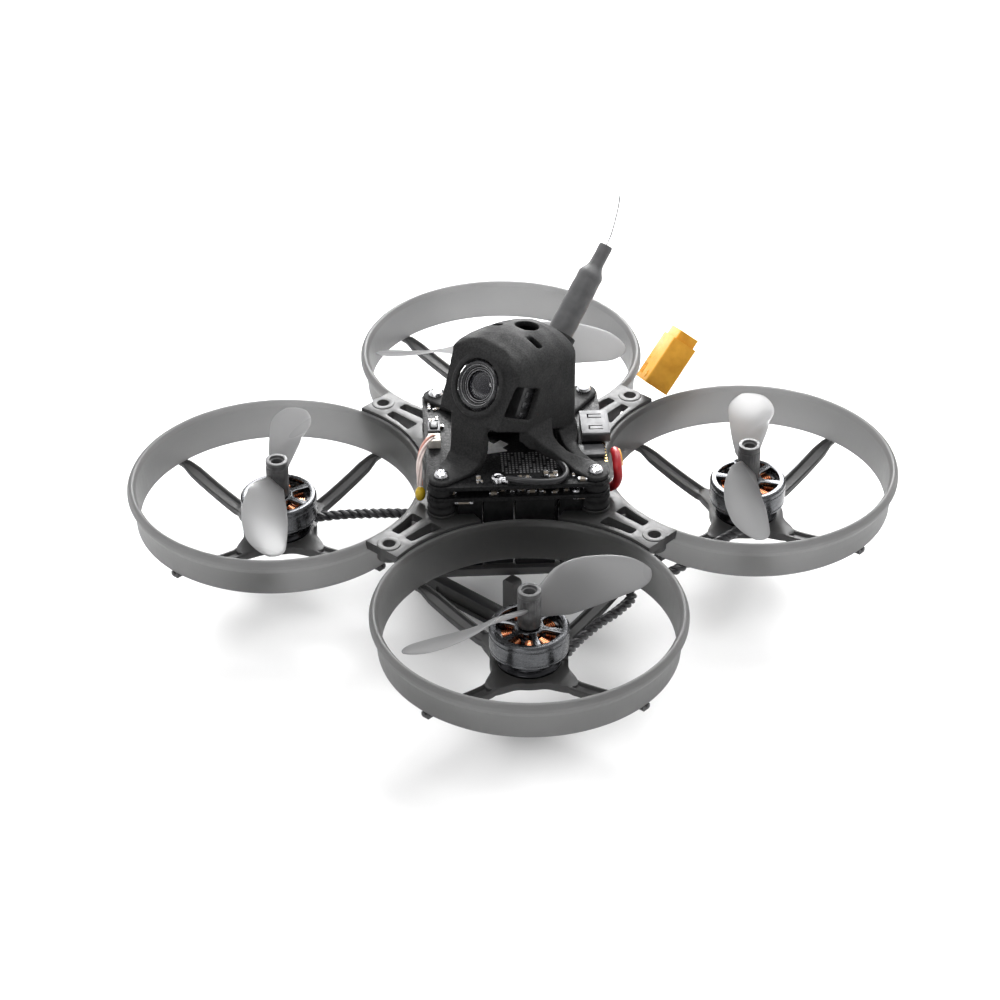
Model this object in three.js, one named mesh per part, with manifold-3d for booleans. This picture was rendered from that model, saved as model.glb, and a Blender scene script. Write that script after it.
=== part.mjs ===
// Palm-sized ducted quadcopter, in millimetres, +Z up.
// The nose points along -Y and the drone's left is +X. The origin is on the floor under the centre.
import * as THREE from "three";
import { mergeVertices } from "three/addons/utils/BufferGeometryUtils.js";
import Module from "manifold-3d";

const wasm = await Module();
wasm.setup();

// ---------------------------------------------------------------- driving dimensions
const wheelbase = 85;
const motorOffset = wheelbase / 2 / Math.SQRT2;
const ringTop = 24;
const ringHeight = 7.5;
const ringOuterRadius = 26.95;
const ringThroatRadius = 25.4;
const ringFootRadius = 24.9;
const ringSegments = 32;

const deckTop = 13.1;
const deckThickness = 1.5;
const deckHalfWidth = 15.2;
const deckCorner = 21.2;
const spokeWidth = 2.7;
const mountRadius = 6.8;

const batteryBayWidth = 19.6;
const batteryBayDepth = 7.9;
const cageLegWidth = 3.4;
const cageBarThickness = 2.2;

const webTop = 24.5;
const webThickness = 1.6;
const webHoleRadius = 1.1;
const webHoleDistance = 32.6;
const webOuterEdge = 34.5;
const ringGap = 0.3;

const stackPitch = 27;
const cornerDistance = stackPitch / Math.SQRT2;
const columnRadius = 2.6;
const columnTop = 25;
const boardThickness = 0.8;
const controllerBottom = 27.9;
const transmitterBottom = 30.2;
const boardHalfWidth = 16;
const boardCorner = 21.6;
const screwShankRadius = 0.6;
const screwHoleRadius = 0.9;
const screwHeadRadius = 1.3;
const canopyFootThickness = 0.8;

const bellRadius = 6.85;
const bellWall = 0.8;
const bellBottom = 16;
const bellTop = 20.4;
const motorBaseRadius = 5;
const shaftRadius = 0.75;
const propellerRadius = 24;
const propellerHubRadius = 2;
const propellerHubBottom = 20.5;
const propellerHubTop = 27.8;
const bladeHeight = 23.6;
const propellerPitch = 38;

const canopyHalfWidth = 7.6;
const canopyWall = 1.1;
const canopyFoot = 31;
const cameraTilt = THREE.MathUtils.degToRad(27);
const lensFront = new THREE.Vector3(0, -9.9, 46.3);
const cameraWidth = 12.4;
const cameraDepth = 8;
const lensLength = 5.4;
const lensRadius = 4.3;

const antennaBase = new THREE.Vector3(0, 12.1, 46.8);
const antennaLean = THREE.MathUtils.degToRad(45);

// ---------------------------------------------------------------- materials
function material(color, roughness, metalness, opacity = 1) {
  return new THREE.MeshStandardMaterial({ color, roughness, metalness, opacity, transparent: opacity < 1 });
}

const smokyPlastic = material(0x75777a, 0.35, 0, 0.8);
const bladePlastic = material(0xa9abae, 0.3, 0, 0.7);
const canopyPlastic = material(0x3b3c3e, 0.85, 0);
const boardBlack = material(0x121417, 0.45, 0);
const rubberBlack = material(0x1b1b1c, 0.9, 0);
const steel = material(0xc9cbce, 0.3, 1);
const bellAluminium = material(0x9a9da2, 0.35, 1);
const darkAluminium = material(0x3a3c40, 0.4, 1);
const windingCopper = material(0xb0623a, 0.4, 1);
const buttonBlack = material(0x202226, 0.5, 0);
const plugWhite = material(0xe2dfd6, 0.5, 0);
const plugYellow = material(0xe0a030, 0.45, 0);
const beadYellow = material(0xd8b62c, 0.35, 0);
const wireBlack = material(0x161618, 0.5, 0);
const wireRed = material(0xa01c22, 0.5, 0);
const wirePale = material(0xe6cfcb, 0.5, 0);
const cameraBlack = material(0x1d1e22, 0.6, 0);
const glassDark = material(0x15171c, 0.05, 0);
const sleeveGrey = material(0x6d6e70, 0.6, 0);

// ---------------------------------------------------------------- geometry helpers
function toSolid(geometry) {
  const plain = geometry.clone();
  plain.deleteAttribute("normal");
  plain.deleteAttribute("uv");
  const merged = mergeVertices(plain, 1e-4);
  const vertProperties = new Float32Array(merged.attributes.position.array);
  const triVerts = new Uint32Array(merged.index.array);
  return new wasm.Manifold(new wasm.Mesh({ numProp: 3, vertProperties, triVerts }));
}

function toGeometry(solid) {
  const mesh = solid.getMesh();
  const geometry = new THREE.BufferGeometry();
  geometry.setAttribute("position", new THREE.BufferAttribute(mesh.vertProperties, 3));
  geometry.setIndex(new THREE.BufferAttribute(mesh.triVerts, 1));
  geometry.computeVertexNormals();
  return geometry;
}

function union(...geometries) {
  let solid = toSolid(geometries[0]);
  for (const geometry of geometries.slice(1)) {
    solid = solid.add(toSolid(geometry));
  }
  return toGeometry(solid);
}

function cut(body, ...tools) {
  let solid = toSolid(body);
  for (const tool of tools) {
    solid = solid.subtract(toSolid(tool));
  }
  return toGeometry(solid);
}

function common(first, second) {
  return toGeometry(toSolid(first).intersect(toSolid(second)));
}

// A solid of revolution about Z; the profile lists [radius, height] counter-clockwise.
function turned(profile, segments = 24) {
  const points = profile.map(([radius, height]) => new THREE.Vector2(radius, height));
  if (profile[0][0] > 0) {
    points.push(points[0].clone());
  }
  return new THREE.LatheGeometry(points, segments).rotateX(Math.PI / 2);
}

function cylinder(radius, bottom, top, x = 0, y = 0, segments = 20) {
  const geometry = new THREE.CylinderGeometry(radius, radius, top - bottom, segments);
  return geometry.rotateX(Math.PI / 2).translate(x, y, (bottom + top) / 2);
}

function box(minimum, maximum) {
  const size = maximum.map((value, axis) => value - minimum[axis]);
  const middle = maximum.map((value, axis) => (value + minimum[axis]) / 2);
  return new THREE.BoxGeometry(...size).translate(...middle);
}

function outline(points) {
  return new THREE.Shape(points.map(([x, y]) => new THREE.Vector2(x, y)));
}

// A plan outline raised from one height to another.
function slab(shape, bottom, top, curveSegments = 10) {
  const options = { depth: top - bottom, bevelEnabled: false, curveSegments };
  return new THREE.ExtrudeGeometry(shape, options).translate(0, 0, bottom);
}

// A side outline of [y, z] points, as wide as given, centred on X.
function sidePrism(points, width, x = 0) {
  const options = { depth: width, bevelEnabled: false };
  const turn = new THREE.Matrix4().makeBasis(
    new THREE.Vector3(0, 1, 0),
    new THREE.Vector3(0, 0, 1),
    new THREE.Vector3(1, 0, 0),
  );
  return new THREE.ExtrudeGeometry(outline(points), options).applyMatrix4(turn).translate(x - width / 2, 0, 0);
}

function addHole(shape, x, y, radius) {
  const hole = new THREE.Path();
  hole.absarc(x, y, radius, 0, 2 * Math.PI, true);
  shape.holes.push(hole);
}

// A closed body through equal rings of points, with flat ends.
function loft(rings) {
  const count = rings[0].length;
  const positions = rings.flat().flatMap((point) => [point.x, point.y, point.z]);
  const index = [];
  for (let ring = 0; ring < rings.length - 1; ring += 1) {
    for (let i = 0; i < count; i += 1) {
      const here = ring * count + i;
      const next = ring * count + ((i + 1) % count);
      index.push(here, next, here + count, next, next + count, here + count);
    }
  }
  const last = (rings.length - 1) * count;
  for (let i = 1; i < count - 1; i += 1) {
    index.push(0, i + 1, i);
    index.push(last, last + i, last + i + 1);
  }
  const geometry = new THREE.BufferGeometry();
  geometry.setAttribute("position", new THREE.Float32BufferAttribute(positions, 3));
  geometry.setIndex(index);
  return geometry;
}

// A round wire along hand-placed points.
function wire(points, radius, steps) {
  const route = new THREE.CatmullRomCurve3(points.map((point) => new THREE.Vector3(...point)), false, "centripetal");
  const section = new THREE.Shape();
  section.absarc(0, 0, radius, 0, 2 * Math.PI, false);
  const options = { extrudePath: route, steps, bevelEnabled: false, curveSegments: 4 };
  return new THREE.ExtrudeGeometry(section, options);
}

// Camera frame: local Z looks out of the lens and local X stays level.
function cameraFrame(distanceBehindLens) {
  const forward = new THREE.Vector3(0, -Math.cos(cameraTilt), Math.sin(cameraTilt));
  const up = new THREE.Vector3(0, Math.sin(cameraTilt), Math.cos(cameraTilt));
  const side = new THREE.Vector3().crossVectors(up, forward);
  const place = lensFront.clone().addScaledVector(forward, -distanceBehindLens);
  return new THREE.Matrix4().makeBasis(side, up, forward).setPosition(place);
}

function antennaFrame() {
  const turn = new THREE.Matrix4().makeRotationX(-antennaLean);
  return turn.setPosition(antennaBase);
}

const drone = new THREE.Group();

function add(name, geometry, look, parent = drone) {
  const mesh = new THREE.Mesh(geometry, look);
  mesh.name = name;
  parent.add(mesh);
  return mesh;
}

// ---------------------------------------------------------------- airframe
// Thin duct wall with a rounded lip that flares outward at the top.
function ductRing() {
  const foot = ringTop - ringHeight;
  return turned([
    [ringFootRadius, foot],
    [ringFootRadius + 0.75, foot],
    [ringThroatRadius + 0.75, ringTop - 2.1],
    [ringOuterRadius, ringTop - 1.6],
    [ringOuterRadius - 0.45, ringTop],
    [ringThroatRadius + 0.5, ringTop],
    [ringThroatRadius, ringTop - 0.8],
  ], ringSegments);
}

// Motor plate on four spokes that leave it flat and then rise to feet under the duct wall.
function motorMount() {
  const bottom = deckTop - deckThickness;
  const footTop = ringTop - ringHeight - ringGap;
  const spokeProfile = [
    [5.2, bottom],
    [11.4, bottom],
    [23.9, footTop - 1.3],
    [26.1, footTop - 0.9],
    [26.1, footTop],
    [24.2, footTop],
    [11, deckTop],
    [5.2, deckTop],
  ];
  const plate = new THREE.Shape();
  plate.absarc(0, 0, mountRadius, 0, 2 * Math.PI, false);
  addHole(plate, 0, 0, 2.2);
  const spokes = [0, 1, 2, 3].map((quarter) => sidePrism(spokeProfile, spokeWidth).rotateZ(quarter * Math.PI / 2));
  return union(slab(plate, bottom, deckTop, 8), ...spokes);
}

// Half width of the space between two neighbouring ducts at a distance from the centre.
function betweenDucts(distance, clearance) {
  const across = distance - motorOffset;
  return motorOffset - Math.sqrt((ringOuterRadius + clearance) ** 2 - across ** 2);
}

// Bridge between two ducts: drilled tab outside, a slot each side of a centre rib, and a stack column.
function junctionWeb() {
  const alongDucts = [webOuterEdge, 32.5, 30.6, 27.4, 24, 21, 18.6, 16.6];
  const rightSide = alongDucts.map((distance) => [betweenDucts(distance, ringGap), distance]);
  rightSide.push([2.4, 15.2]);
  const leftSide = rightSide.map(([x, y]) => [-x, y]).reverse();
  const plan = outline([...rightSide, ...leftSide].reverse());
  addHole(plan, 0, webHoleDistance, webHoleRadius);
  const plate = slab(plan, webTop - webThickness, webTop, 5);
  const column = cylinder(columnRadius, deckTop, columnTop, 0, cornerDistance, 14);
  const rib = sidePrism([
    [cornerDistance + 1, deckTop],
    [cornerDistance + 3.4, deckTop],
    [28.6, webTop - webThickness - 1.2],
    [28.6, webTop - 0.8],
    [cornerDistance + 1, webTop - 0.8],
  ], 1.5);
  const screwHole = cylinder(screwHoleRadius, columnTop - 3, columnTop + 1, 0, cornerDistance, 8);
  const slots = [1, -1].map((side) => {
    const plan = outline([[0.8, 29.3], [2.1, 29.3], [3.1, 22.8], [0.8, 22.8]].map(([x, y]) => [side * x, y]));
    return slab(plan, webTop - 3, webTop + 1);
  });
  return cut(union(plate, column, rib), screwHole, ...slots);
}

// Lower deck: a square turned by 45 degrees, with blunt corners and lightening holes.
function centerPlate() {
  const side = deckHalfWidth * Math.SQRT2;
  const blunt = side - deckCorner;
  const quarter = [[deckCorner, -blunt], [deckCorner, blunt]];
  const points = [0, 1, 2, 3].flatMap((turn) => quarter.map(([x, y]) => {
    const angle = turn * Math.PI / 2;
    return [x * Math.cos(angle) - y * Math.sin(angle), x * Math.sin(angle) + y * Math.cos(angle)];
  }));
  const plan = outline(points);
  addHole(plan, 0, 0, 4.5);
  for (let i = 0; i < 4; i += 1) {
    const angle = Math.PI / 4 + i * Math.PI / 2;
    addHole(plan, 10.2 * Math.cos(angle), 10.2 * Math.sin(angle), 2.4);
  }
  return slab(plan, deckTop - deckThickness, deckTop, 5);
}

// U-shaped hoop that the battery slides through, hanging from the lower deck.
function batteryHoop(y) {
  const top = deckTop - deckThickness;
  const half = batteryBayWidth / 2;
  const outer = half + cageLegWidth * 0.75;
  const floor = top - batteryBayDepth;
  const plan = outline([
    [-outer, top],
    [-outer, 1.2],
    [-outer + 1.2, 0],
    [outer - 1.2, 0],
    [outer, 1.2],
    [outer, top],
    [half, top],
    [half, floor + 0.8],
    [half - 0.8, floor],
    [-half + 0.8, floor],
    [-half, floor + 0.8],
    [-half, top],
  ]);
  return slab(plan, 0, cageBarThickness).rotateX(Math.PI / 2).translate(0, y + cageBarThickness / 2, 0);
}

const motors = [
  { place: "front_left", x: motorOffset, y: -motorOffset, blade: 70, turn: 1 },
  { place: "front_right", x: -motorOffset, y: -motorOffset, blade: 133, turn: -1 },
  { place: "rear_left", x: motorOffset, y: motorOffset, blade: 132, turn: -1 },
  { place: "rear_right", x: -motorOffset, y: motorOffset, blade: 42, turn: 1 },
];

for (const motor of motors) {
  const duct = new THREE.Group();
  duct.position.set(motor.x, motor.y, 0);
  drone.add(duct);
  add(`duct_${motor.place}`, ductRing(), smokyPlastic, duct);
  add(`motor_mount_${motor.place}`, motorMount(), smokyPlastic, duct);
}

const corners = [
  { place: "rear", angle: 0 },
  { place: "right", angle: Math.PI / 2 },
  { place: "front", angle: Math.PI },
  { place: "left", angle: -Math.PI / 2 },
];

for (const corner of corners) {
  const turned90 = new THREE.Group();
  turned90.rotation.z = corner.angle;
  drone.add(turned90);
  add(`junction_web_${corner.place}`, junctionWeb(), smokyPlastic, turned90);
}

add("center_plate", centerPlate(), smokyPlastic);
add("battery_hoop_front", batteryHoop(-13), smokyPlastic);
add("battery_hoop_rear", batteryHoop(13), smokyPlastic);

// ---------------------------------------------------------------- motors and propellers
// Stationary base with the bearing tube that the shaft runs in.
function motorBase() {
  const tubeTop = bellTop - 1.3;
  return turned([
    [shaftRadius + ringGap, deckTop],
    [motorBaseRadius + 0.6, deckTop],
    [motorBaseRadius, deckTop + 0.8],
    [motorBaseRadius, bellBottom - 0.4],
    [2.2, bellBottom - 0.2],
    [2.2, tubeTop],
    [shaftRadius + ringGap, tubeTop],
  ], 16);
}

// Laminated core with nine wound teeth.
function stator() {
  const teeth = 9;
  const plan = new THREE.Shape();
  const pitch = (2 * Math.PI) / teeth;
  for (let i = 0; i < teeth; i += 1) {
    const start = i * pitch;
    const radii = [[3.6, 0], [5.5, 0.1], [5.5, 0.75], [3.6, 0.85]];
    radii.forEach(([radius, share], step) => {
      const angle = start + share * pitch;
      const method = i === 0 && step === 0 ? "moveTo" : "lineTo";
      plan[method](radius * Math.cos(angle), radius * Math.sin(angle));
    });
  }
  addHole(plan, 0, 0, 2.5);
  return slab(plan, bellBottom + 0.3, bellTop - 1.2, 4);
}

// Rotating can: spoked top, magnet ring and steel shaft.
function motorBell() {
  const inner = bellRadius - bellWall;
  const can = turned([
    [inner, bellBottom],
    [bellRadius, bellBottom],
    [bellRadius, bellTop - 0.4],
    [bellRadius - 0.4, bellTop],
    [inner, bellTop],
  ], 24);
  const spokes = [0, 1, 2].map((index) => {
    const bar = box([-inner - 0.3, -0.6, bellTop - 0.8], [inner + 0.3, 0.6, bellTop]);
    return bar.rotateZ(index * Math.PI / 3);
  });
  const hub = cylinder(2.5, bellTop - 0.8, bellTop, 0, 0, 12);
  const shaft = cylinder(shaftRadius, deckTop + 0.3, propellerHubTop - 0.8, 0, 0, 8);
  return union(can, hub, shaft, ...spokes);
}

// Chord of the blade at a distance from the shaft: broad in the middle, round at the tip.
function bladeChord(radius) {
  const share = radius / propellerRadius;
  const body = 5.5 + 15 * share - 12 * share * share;
  const tip = Math.sqrt(Math.max(0.02, 1 - ((share - 0.8) / 0.2) ** 2));
  return share > 0.8 ? body * tip : body;
}

// One twisted blade along +X; turn is +1 for a rotor that turns counter-clockwise from above.
function blade(turn) {
  const stations = [1, 4, 7, 11, 15, 19, 21.5, 23.2, 24];
  const section = [[0.5, 0], [0.18, 0.42], [-0.2, 0.3], [-0.5, 0], [-0.2, -0.3], [0.18, -0.42]];
  const rings = stations.map((radius) => {
    const chord = bladeChord(radius);
    const twist = Math.min(Math.atan(propellerPitch / (2 * Math.PI * Math.max(radius, 5))), 0.72);
    const thickness = 1.3 - 0.7 * (radius / propellerRadius);
    return section.map(([along, up]) => {
      const forward = along * chord;
      const lift = up * thickness;
      const y = forward * Math.cos(twist) - lift * Math.sin(twist);
      const z = forward * Math.sin(twist) + lift * Math.cos(twist);
      return new THREE.Vector3(radius, turn * y, bladeHeight + z);
    });
  });
  const ordered = turn > 0 ? rings : rings.map((ring) => ring.slice().reverse());
  return loft(ordered);
}

function propeller(turn) {
  const hub = cylinder(propellerHubRadius, propellerHubBottom, propellerHubTop, 0, 0, 16);
  const second = blade(turn).rotateZ(Math.PI);
  const bore = cylinder(shaftRadius + ringGap, propellerHubBottom - 1, propellerHubTop + 1, 0, 0, 8);
  return cut(union(hub, blade(turn), second), bore);
}

for (const motor of motors) {
  const stand = new THREE.Group();
  stand.position.set(motor.x, motor.y, 0);
  drone.add(stand);
  add(`motor_base_${motor.place}`, motorBase(), darkAluminium, stand);
  add(`motor_stator_${motor.place}`, stator(), windingCopper, stand);
  add(`motor_bell_${motor.place}`, motorBell(), bellAluminium, stand);
  const turnedPropeller = propeller(motor.turn).rotateZ(THREE.MathUtils.degToRad(motor.blade));
  add(`propeller_${motor.place}`, turnedPropeller, bladePlastic, stand);
}

// ---------------------------------------------------------------- electronics stack
function boardOutline(holeRadius) {
  const side = boardHalfWidth * Math.SQRT2;
  const blunt = side - boardCorner;
  const quarter = [[boardCorner, -blunt], [boardCorner, blunt]];
  const points = [0, 1, 2, 3].flatMap((turn) => quarter.map(([x, y]) => {
    const angle = turn * Math.PI / 2;
    return [x * Math.cos(angle) - y * Math.sin(angle), x * Math.sin(angle) + y * Math.cos(angle)];
  }));
  const plan = outline(points);
  for (const corner of corners) {
    addHole(plan, -cornerDistance * Math.sin(corner.angle), cornerDistance * Math.cos(corner.angle), holeRadius);
  }
  return plan;
}

// Soft grommet clipped into the lower board's corner hole.
function damper() {
  const neckTop = controllerBottom + boardThickness;
  return turned([
    [screwHoleRadius, columnTop],
    [columnRadius, columnTop],
    [columnRadius, controllerBottom],
    [1.4, controllerBottom],
    [1.4, neckTop],
    [2.3, neckTop],
    [2.3, transmitterBottom],
    [screwHoleRadius, transmitterBottom],
  ], 12);
}

// Pan-head screw with a hexagon recess, holding the canopy foot and both boards.
function canopyScrew() {
  const seat = transmitterBottom + boardThickness + canopyFootThickness;
  const body = turned([
    [0, columnTop - 2.4],
    [screwShankRadius, columnTop - 2.4],
    [screwShankRadius, seat],
    [screwHeadRadius, seat],
    [screwHeadRadius, seat + 0.6],
    [screwHeadRadius - 0.4, seat + 1.1],
    [0, seat + 1.1],
  ], 12);
  return cut(body, cylinder(0.5, seat + 0.4, seat + 2, 0, 0, 6));
}

add("flight_controller", slab(boardOutline(1.7), controllerBottom, controllerBottom + boardThickness, 4), boardBlack);
const transmitterTop = transmitterBottom + boardThickness;
add("video_transmitter", slab(boardOutline(screwHoleRadius), transmitterBottom, transmitterTop, 4), boardBlack);

for (const corner of corners) {
  const post = new THREE.Group();
  post.position.set(-cornerDistance * Math.sin(corner.angle), cornerDistance * Math.cos(corner.angle), 0);
  drone.add(post);
  add(`damper_${corner.place}`, damper(), rubberBlack, post);
  add(`canopy_screw_${corner.place}`, canopyScrew(), steel, post);
}

// Micro USB shell: open mouth toward the rear left.
function usbPort() {
  const bottom = transmitterTop;
  const shell = box([0, -4, bottom], [5, 4, bottom + 2.6]);
  const mouth = box([0.6, -3.5, bottom + 0.45], [6, 3.5, bottom + 2.2]);
  return cut(shell, mouth);
}

const diagonal = new THREE.Group();
diagonal.rotation.z = Math.PI / 4;
drone.add(diagonal);
add("usb_port", usbPort().translate(11.9, 0, 0), steel, diagonal);

// Bind switch on the front right edge: steel frame and a button that clicks down.
const switchFrame = { x: -14.3, y: 1.7, length: 3.4, width: 2.3, height: 1.7 };
const buttonTravel = 0.25;

function bindSwitchFrame() {
  const bottom = transmitterTop;
  const { x, y, length, width, height } = switchFrame;
  const shell = box([x - width / 2, y - length / 2, bottom], [x + width / 2, y + length / 2, bottom + height]);
  const well = box([x - 0.75, y - 1.15, bottom + 0.7], [x + 0.75, y + 1.15, bottom + height + 1]);
  return cut(shell, well);
}

function bindButton() {
  const bottom = transmitterTop;
  const { x, y, height } = switchFrame;
  return box([x - 0.6, y - 1, bottom + 0.7 + buttonTravel], [x + 0.6, y + 1, bottom + height + 0.35]);
}

add("bind_switch_frame", bindSwitchFrame(), steel, diagonal);
add("bind_button", bindButton(), buttonBlack, diagonal);

// White plug of the camera cable, beside the switch.
function cameraPlug() {
  const bottom = transmitterTop;
  return box([-15.4, -3.2, bottom], [-13.2, -0.6, bottom + 1.6]);
}

add("camera_plug", cameraPlug(), plugWhite, diagonal);

// Signal pair that leaves the plug, loops over the board edge and drops beside it.
const cameraCablePoints = [
  [-8.1, -12.6, 33.6],
  [-7.6, -14, 34],
  [-7.2, -15.8, 33.4],
  [-6.4, -17.8, 31.8],
  [-5.2, -19.2, 29.4],
  [-4.9, -19.4, 27.9],
];
add("camera_cable", wire(cameraCablePoints, 0.65, 12), wirePale);

function signalCapacitor() {
  return new THREE.SphereGeometry(1, 10, 6).scale(0.95, 0.95, 1.4).translate(-4.9, -19.4, 26.2);
}

add("signal_capacitor", signalCapacitor(), beadYellow);

// ---------------------------------------------------------------- canopy, camera and antenna
// Side outline of the canopy: tilted face, flat roof, round shoulders; inset shrinks it evenly.
function canopyProfile(inset) {
  const face = (along, out) => {
    const y = lensFront.y + along * Math.sin(cameraTilt) - out * Math.cos(cameraTilt);
    const z = lensFront.z + along * Math.cos(cameraTilt) + out * Math.sin(cameraTilt);
    return [y, z];
  };
  const roof = 52.2 - inset;
  const rear = 8.6 - inset;
  return [
    [rear, canopyFoot + 1.6],
    [rear, roof - 5.7 + inset * 0.3],
    [rear - 0.9, roof - 3],
    [rear - 3, roof - 0.9],
    [rear - 5.5, roof],
    [-3.4 + inset * 0.2, roof],
    [-5.4 + inset * 0.5, roof - 0.7],
    face(4.9 - inset * 0.7, -1 - inset),
    face(-6.2 + inset, -1 - inset),
    [-11 + inset, 38.3 + inset * 0.6],
    [-9.8 + inset, 36.6],
    [-9.8 + inset, canopyFoot + 1.6],
  ];
}

// Round-shouldered outline seen from the front, used to soften the long edges of the shell.
function canopyFront(inset) {
  const half = canopyHalfWidth - inset;
  const roof = 52.2 - inset;
  const bottom = canopyFoot + 1;
  const points = [[-half, bottom], [half, bottom], [half, 50.2 - inset], [half - 0.7, 51.4 - inset], [half - 2, roof],
    [-half + 2, roof], [-half + 0.7, 51.4 - inset], [-half, 50.2 - inset]];
  return slab(outline(points), 0, 40).rotateX(Math.PI / 2).translate(0, 20, 0);
}

function canopyBlock(inset) {
  return common(sidePrism(canopyProfile(inset), 20), canopyFront(inset));
}

// Sloping leg from the shell wall to a screw foot: a plan outline cut out of a tilted sheet.
function canopyLeg(planPoints, holePoints, wallDistance, wallHeight) {
  const foot = transmitterTop;
  const sheet = sidePrism([
    [wallDistance, wallHeight],
    [wallDistance, wallHeight - 1.6],
    [cornerDistance - 3.2, foot],
    [cornerDistance + 2.4, foot],
    [cornerDistance + 2.4, foot + canopyFootThickness],
    [cornerDistance - 2.6, foot + canopyFootThickness],
  ], 24);
  let leg = common(sheet, slab(outline(planPoints), foot - 1, wallHeight + 1));
  if (holePoints) {
    leg = cut(leg, slab(outline(holePoints), foot - 2, wallHeight + 2));
  }
  const screwHole = cylinder(screwHoleRadius, foot - 1, foot + 3, 0, cornerDistance, 12);
  return cut(leg, screwHole);
}

const footPlan = [[2.3, cornerDistance - 1.6], [1.5, cornerDistance + 2.2], [-1.5, cornerDistance + 2.2],
  [-2.3, cornerDistance - 1.6]];

function canopy() {
  const frontLeg = canopyLeg([[5.2, 8.9], ...footPlan, [-5.2, 8.9]], null, 8.9, 38).rotateZ(Math.PI);
  const rearLeg = canopyLeg([[4.6, 8], ...footPlan, [-4.6, 8]], null, 8, 38);
  const sideWindow = [[-5.2, 6.4], [2.4, 6.4], [-0.2, 13.4]];
  const leftLeg = canopyLeg([[4.4, 6.6], ...footPlan, [-8.2, 6.6]], sideWindow, 6.6, 39.6).rotateZ(-Math.PI / 2);
  const mirroredWindow = sideWindow.map(([x, y]) => [-x, y]);
  const rightPlan = [[8.2, 6.6], ...footPlan, [-4.4, 6.6]];
  const rightLeg = canopyLeg(rightPlan, mirroredWindow, 6.6, 39.6).rotateZ(Math.PI / 2);
  const collar = new THREE.CylinderGeometry(3.2, 3.2, 9, 16).translate(0, -1, 0).rotateX(Math.PI / 2)
    .applyMatrix4(antennaFrame());
  const bezel = new THREE.CylinderGeometry(5.6, 6.2, 2.2, 20).rotateX(Math.PI / 2).applyMatrix4(cameraFrame(1.2));
  const outer = union(canopyBlock(0), frontLeg, rearLeg, leftLeg, rightLeg, collar, bezel);

  const lensHole = new THREE.CylinderGeometry(4.7, 4.7, 8, 20).rotateX(Math.PI / 2).applyMatrix4(cameraFrame(2));
  const sleeveHole = new THREE.CylinderGeometry(2.4, 2.4, 20, 14).rotateX(Math.PI / 2).applyMatrix4(antennaFrame());
  const sideWindows = new THREE.BoxGeometry(30, 5.6, 7.6).applyMatrix4(cameraFrame(6.4)).translate(0, 0, -0.6);
  const roofHole = cylinder(2.1, 46, 60, 0, 3.4, 12);
  const slotLeft = box([3, -0.4, 46], [7, 0.9, 60]);
  const slotRight = box([-7, -0.4, 46], [-3, 0.9, 60]);
  return cut(outer, canopyBlock(canopyWall), lensHole, sleeveHole, sideWindows, roofHole, slotLeft, slotRight,
    box([-6.4, -8.6, canopyFoot - 1], [6.4, 7.4, 34]));
}

add("canopy", canopy(), canopyPlastic);

// Square camera with its lens, pitched up inside the canopy.
const cameraHead = new THREE.Group();
cameraHead.applyMatrix4(cameraFrame(0));
drone.add(cameraHead);

function cameraBody() {
  const back = -lensLength - cameraDepth;
  const half = cameraWidth / 2;
  return box([-half, -half + 0.3, back], [half, half - 0.6, -lensLength]);
}

function lensBarrel() {
  return turned([
    [3.3, -lensLength + 0.4],
    [lensRadius, -lensLength + 0.4],
    [lensRadius, -0.3],
    [lensRadius - 0.3, 0],
    [3.9, 0],
    [3.3, -1.4],
  ], 18);
}

function lensGlass() {
  const bulge = [0, 0.35, 0.7, 1].map((share) => [2.95 * (1 - share), -1.9 + 0.9 * Math.sin(share * Math.PI / 2)]);
  return turned([[0, -lensLength + 0.4], [2.95, -lensLength + 0.4], ...bulge], 16);
}

add("camera_body", cameraBody(), cameraBlack, cameraHead);
add("lens_barrel", lensBarrel(), cameraBlack, cameraHead);
add("lens_glass", lensGlass(), glassDark, cameraHead);

// Heat-shrink sleeve that narrows halfway, with a bare whip on top.
function antennaSleeve() {
  return turned([
    [0, -2],
    [2.1, -2],
    [2.1, 12.2],
    [1.3, 13.4],
    [1.3, 18],
    [0, 18],
  ], 14);
}

const antenna = new THREE.Group();
antenna.applyMatrix4(antennaFrame());
drone.add(antenna);
add("antenna_sleeve", antennaSleeve(), sleeveGrey, antenna);

const whipPoints = [
  [0, 25.1, 59.8],
  [0, 26.2, 61.4],
  [0, 27.1, 63.5],
  [0, 27.9, 65.8],
  [0, 28.4, 68.2],
];
add("antenna_whip", wire(whipPoints, 0.3, 8), steel);

// ---------------------------------------------------------------- leads
// Twisted phase wires of each motor, from its base to the lower board.
const innerLead = [
  [26, 25.2, 14.6],
  [22.5, 20.6, 14.5],
  [16.5, 14.8, 14.5],
  [12.4, 11.5, 14.6],
  [10.3, 9.7, 15.6],
  [9.7, 9.3, 20],
  [9.6, 9.2, 27.5],
];
const sideLead = [
  [35.2, 26.6, 14.8],
  [34.2, 23, 14.6],
  [33.2, 16, 14.2],
  [32.7, 9, 13.6],
  [31.4, 4.4, 13.4],
  [26, 3.3, 13.9],
  [20, 4.6, 14.4],
  [15.8, 5.2, 15.4],
  [13.6, 4.6, 20],
  [13.2, 4.4, 27.5],
];

for (const motor of motors) {
  const points = motor.x > 0 ? sideLead : innerLead;
  const route = points.map(([x, y, z]) => [x * Math.sign(motor.x), y * Math.sign(motor.y), z]);
  add(`motor_lead_${motor.place}`, wire(route, 0.95, 15), wireBlack);
}

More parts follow.
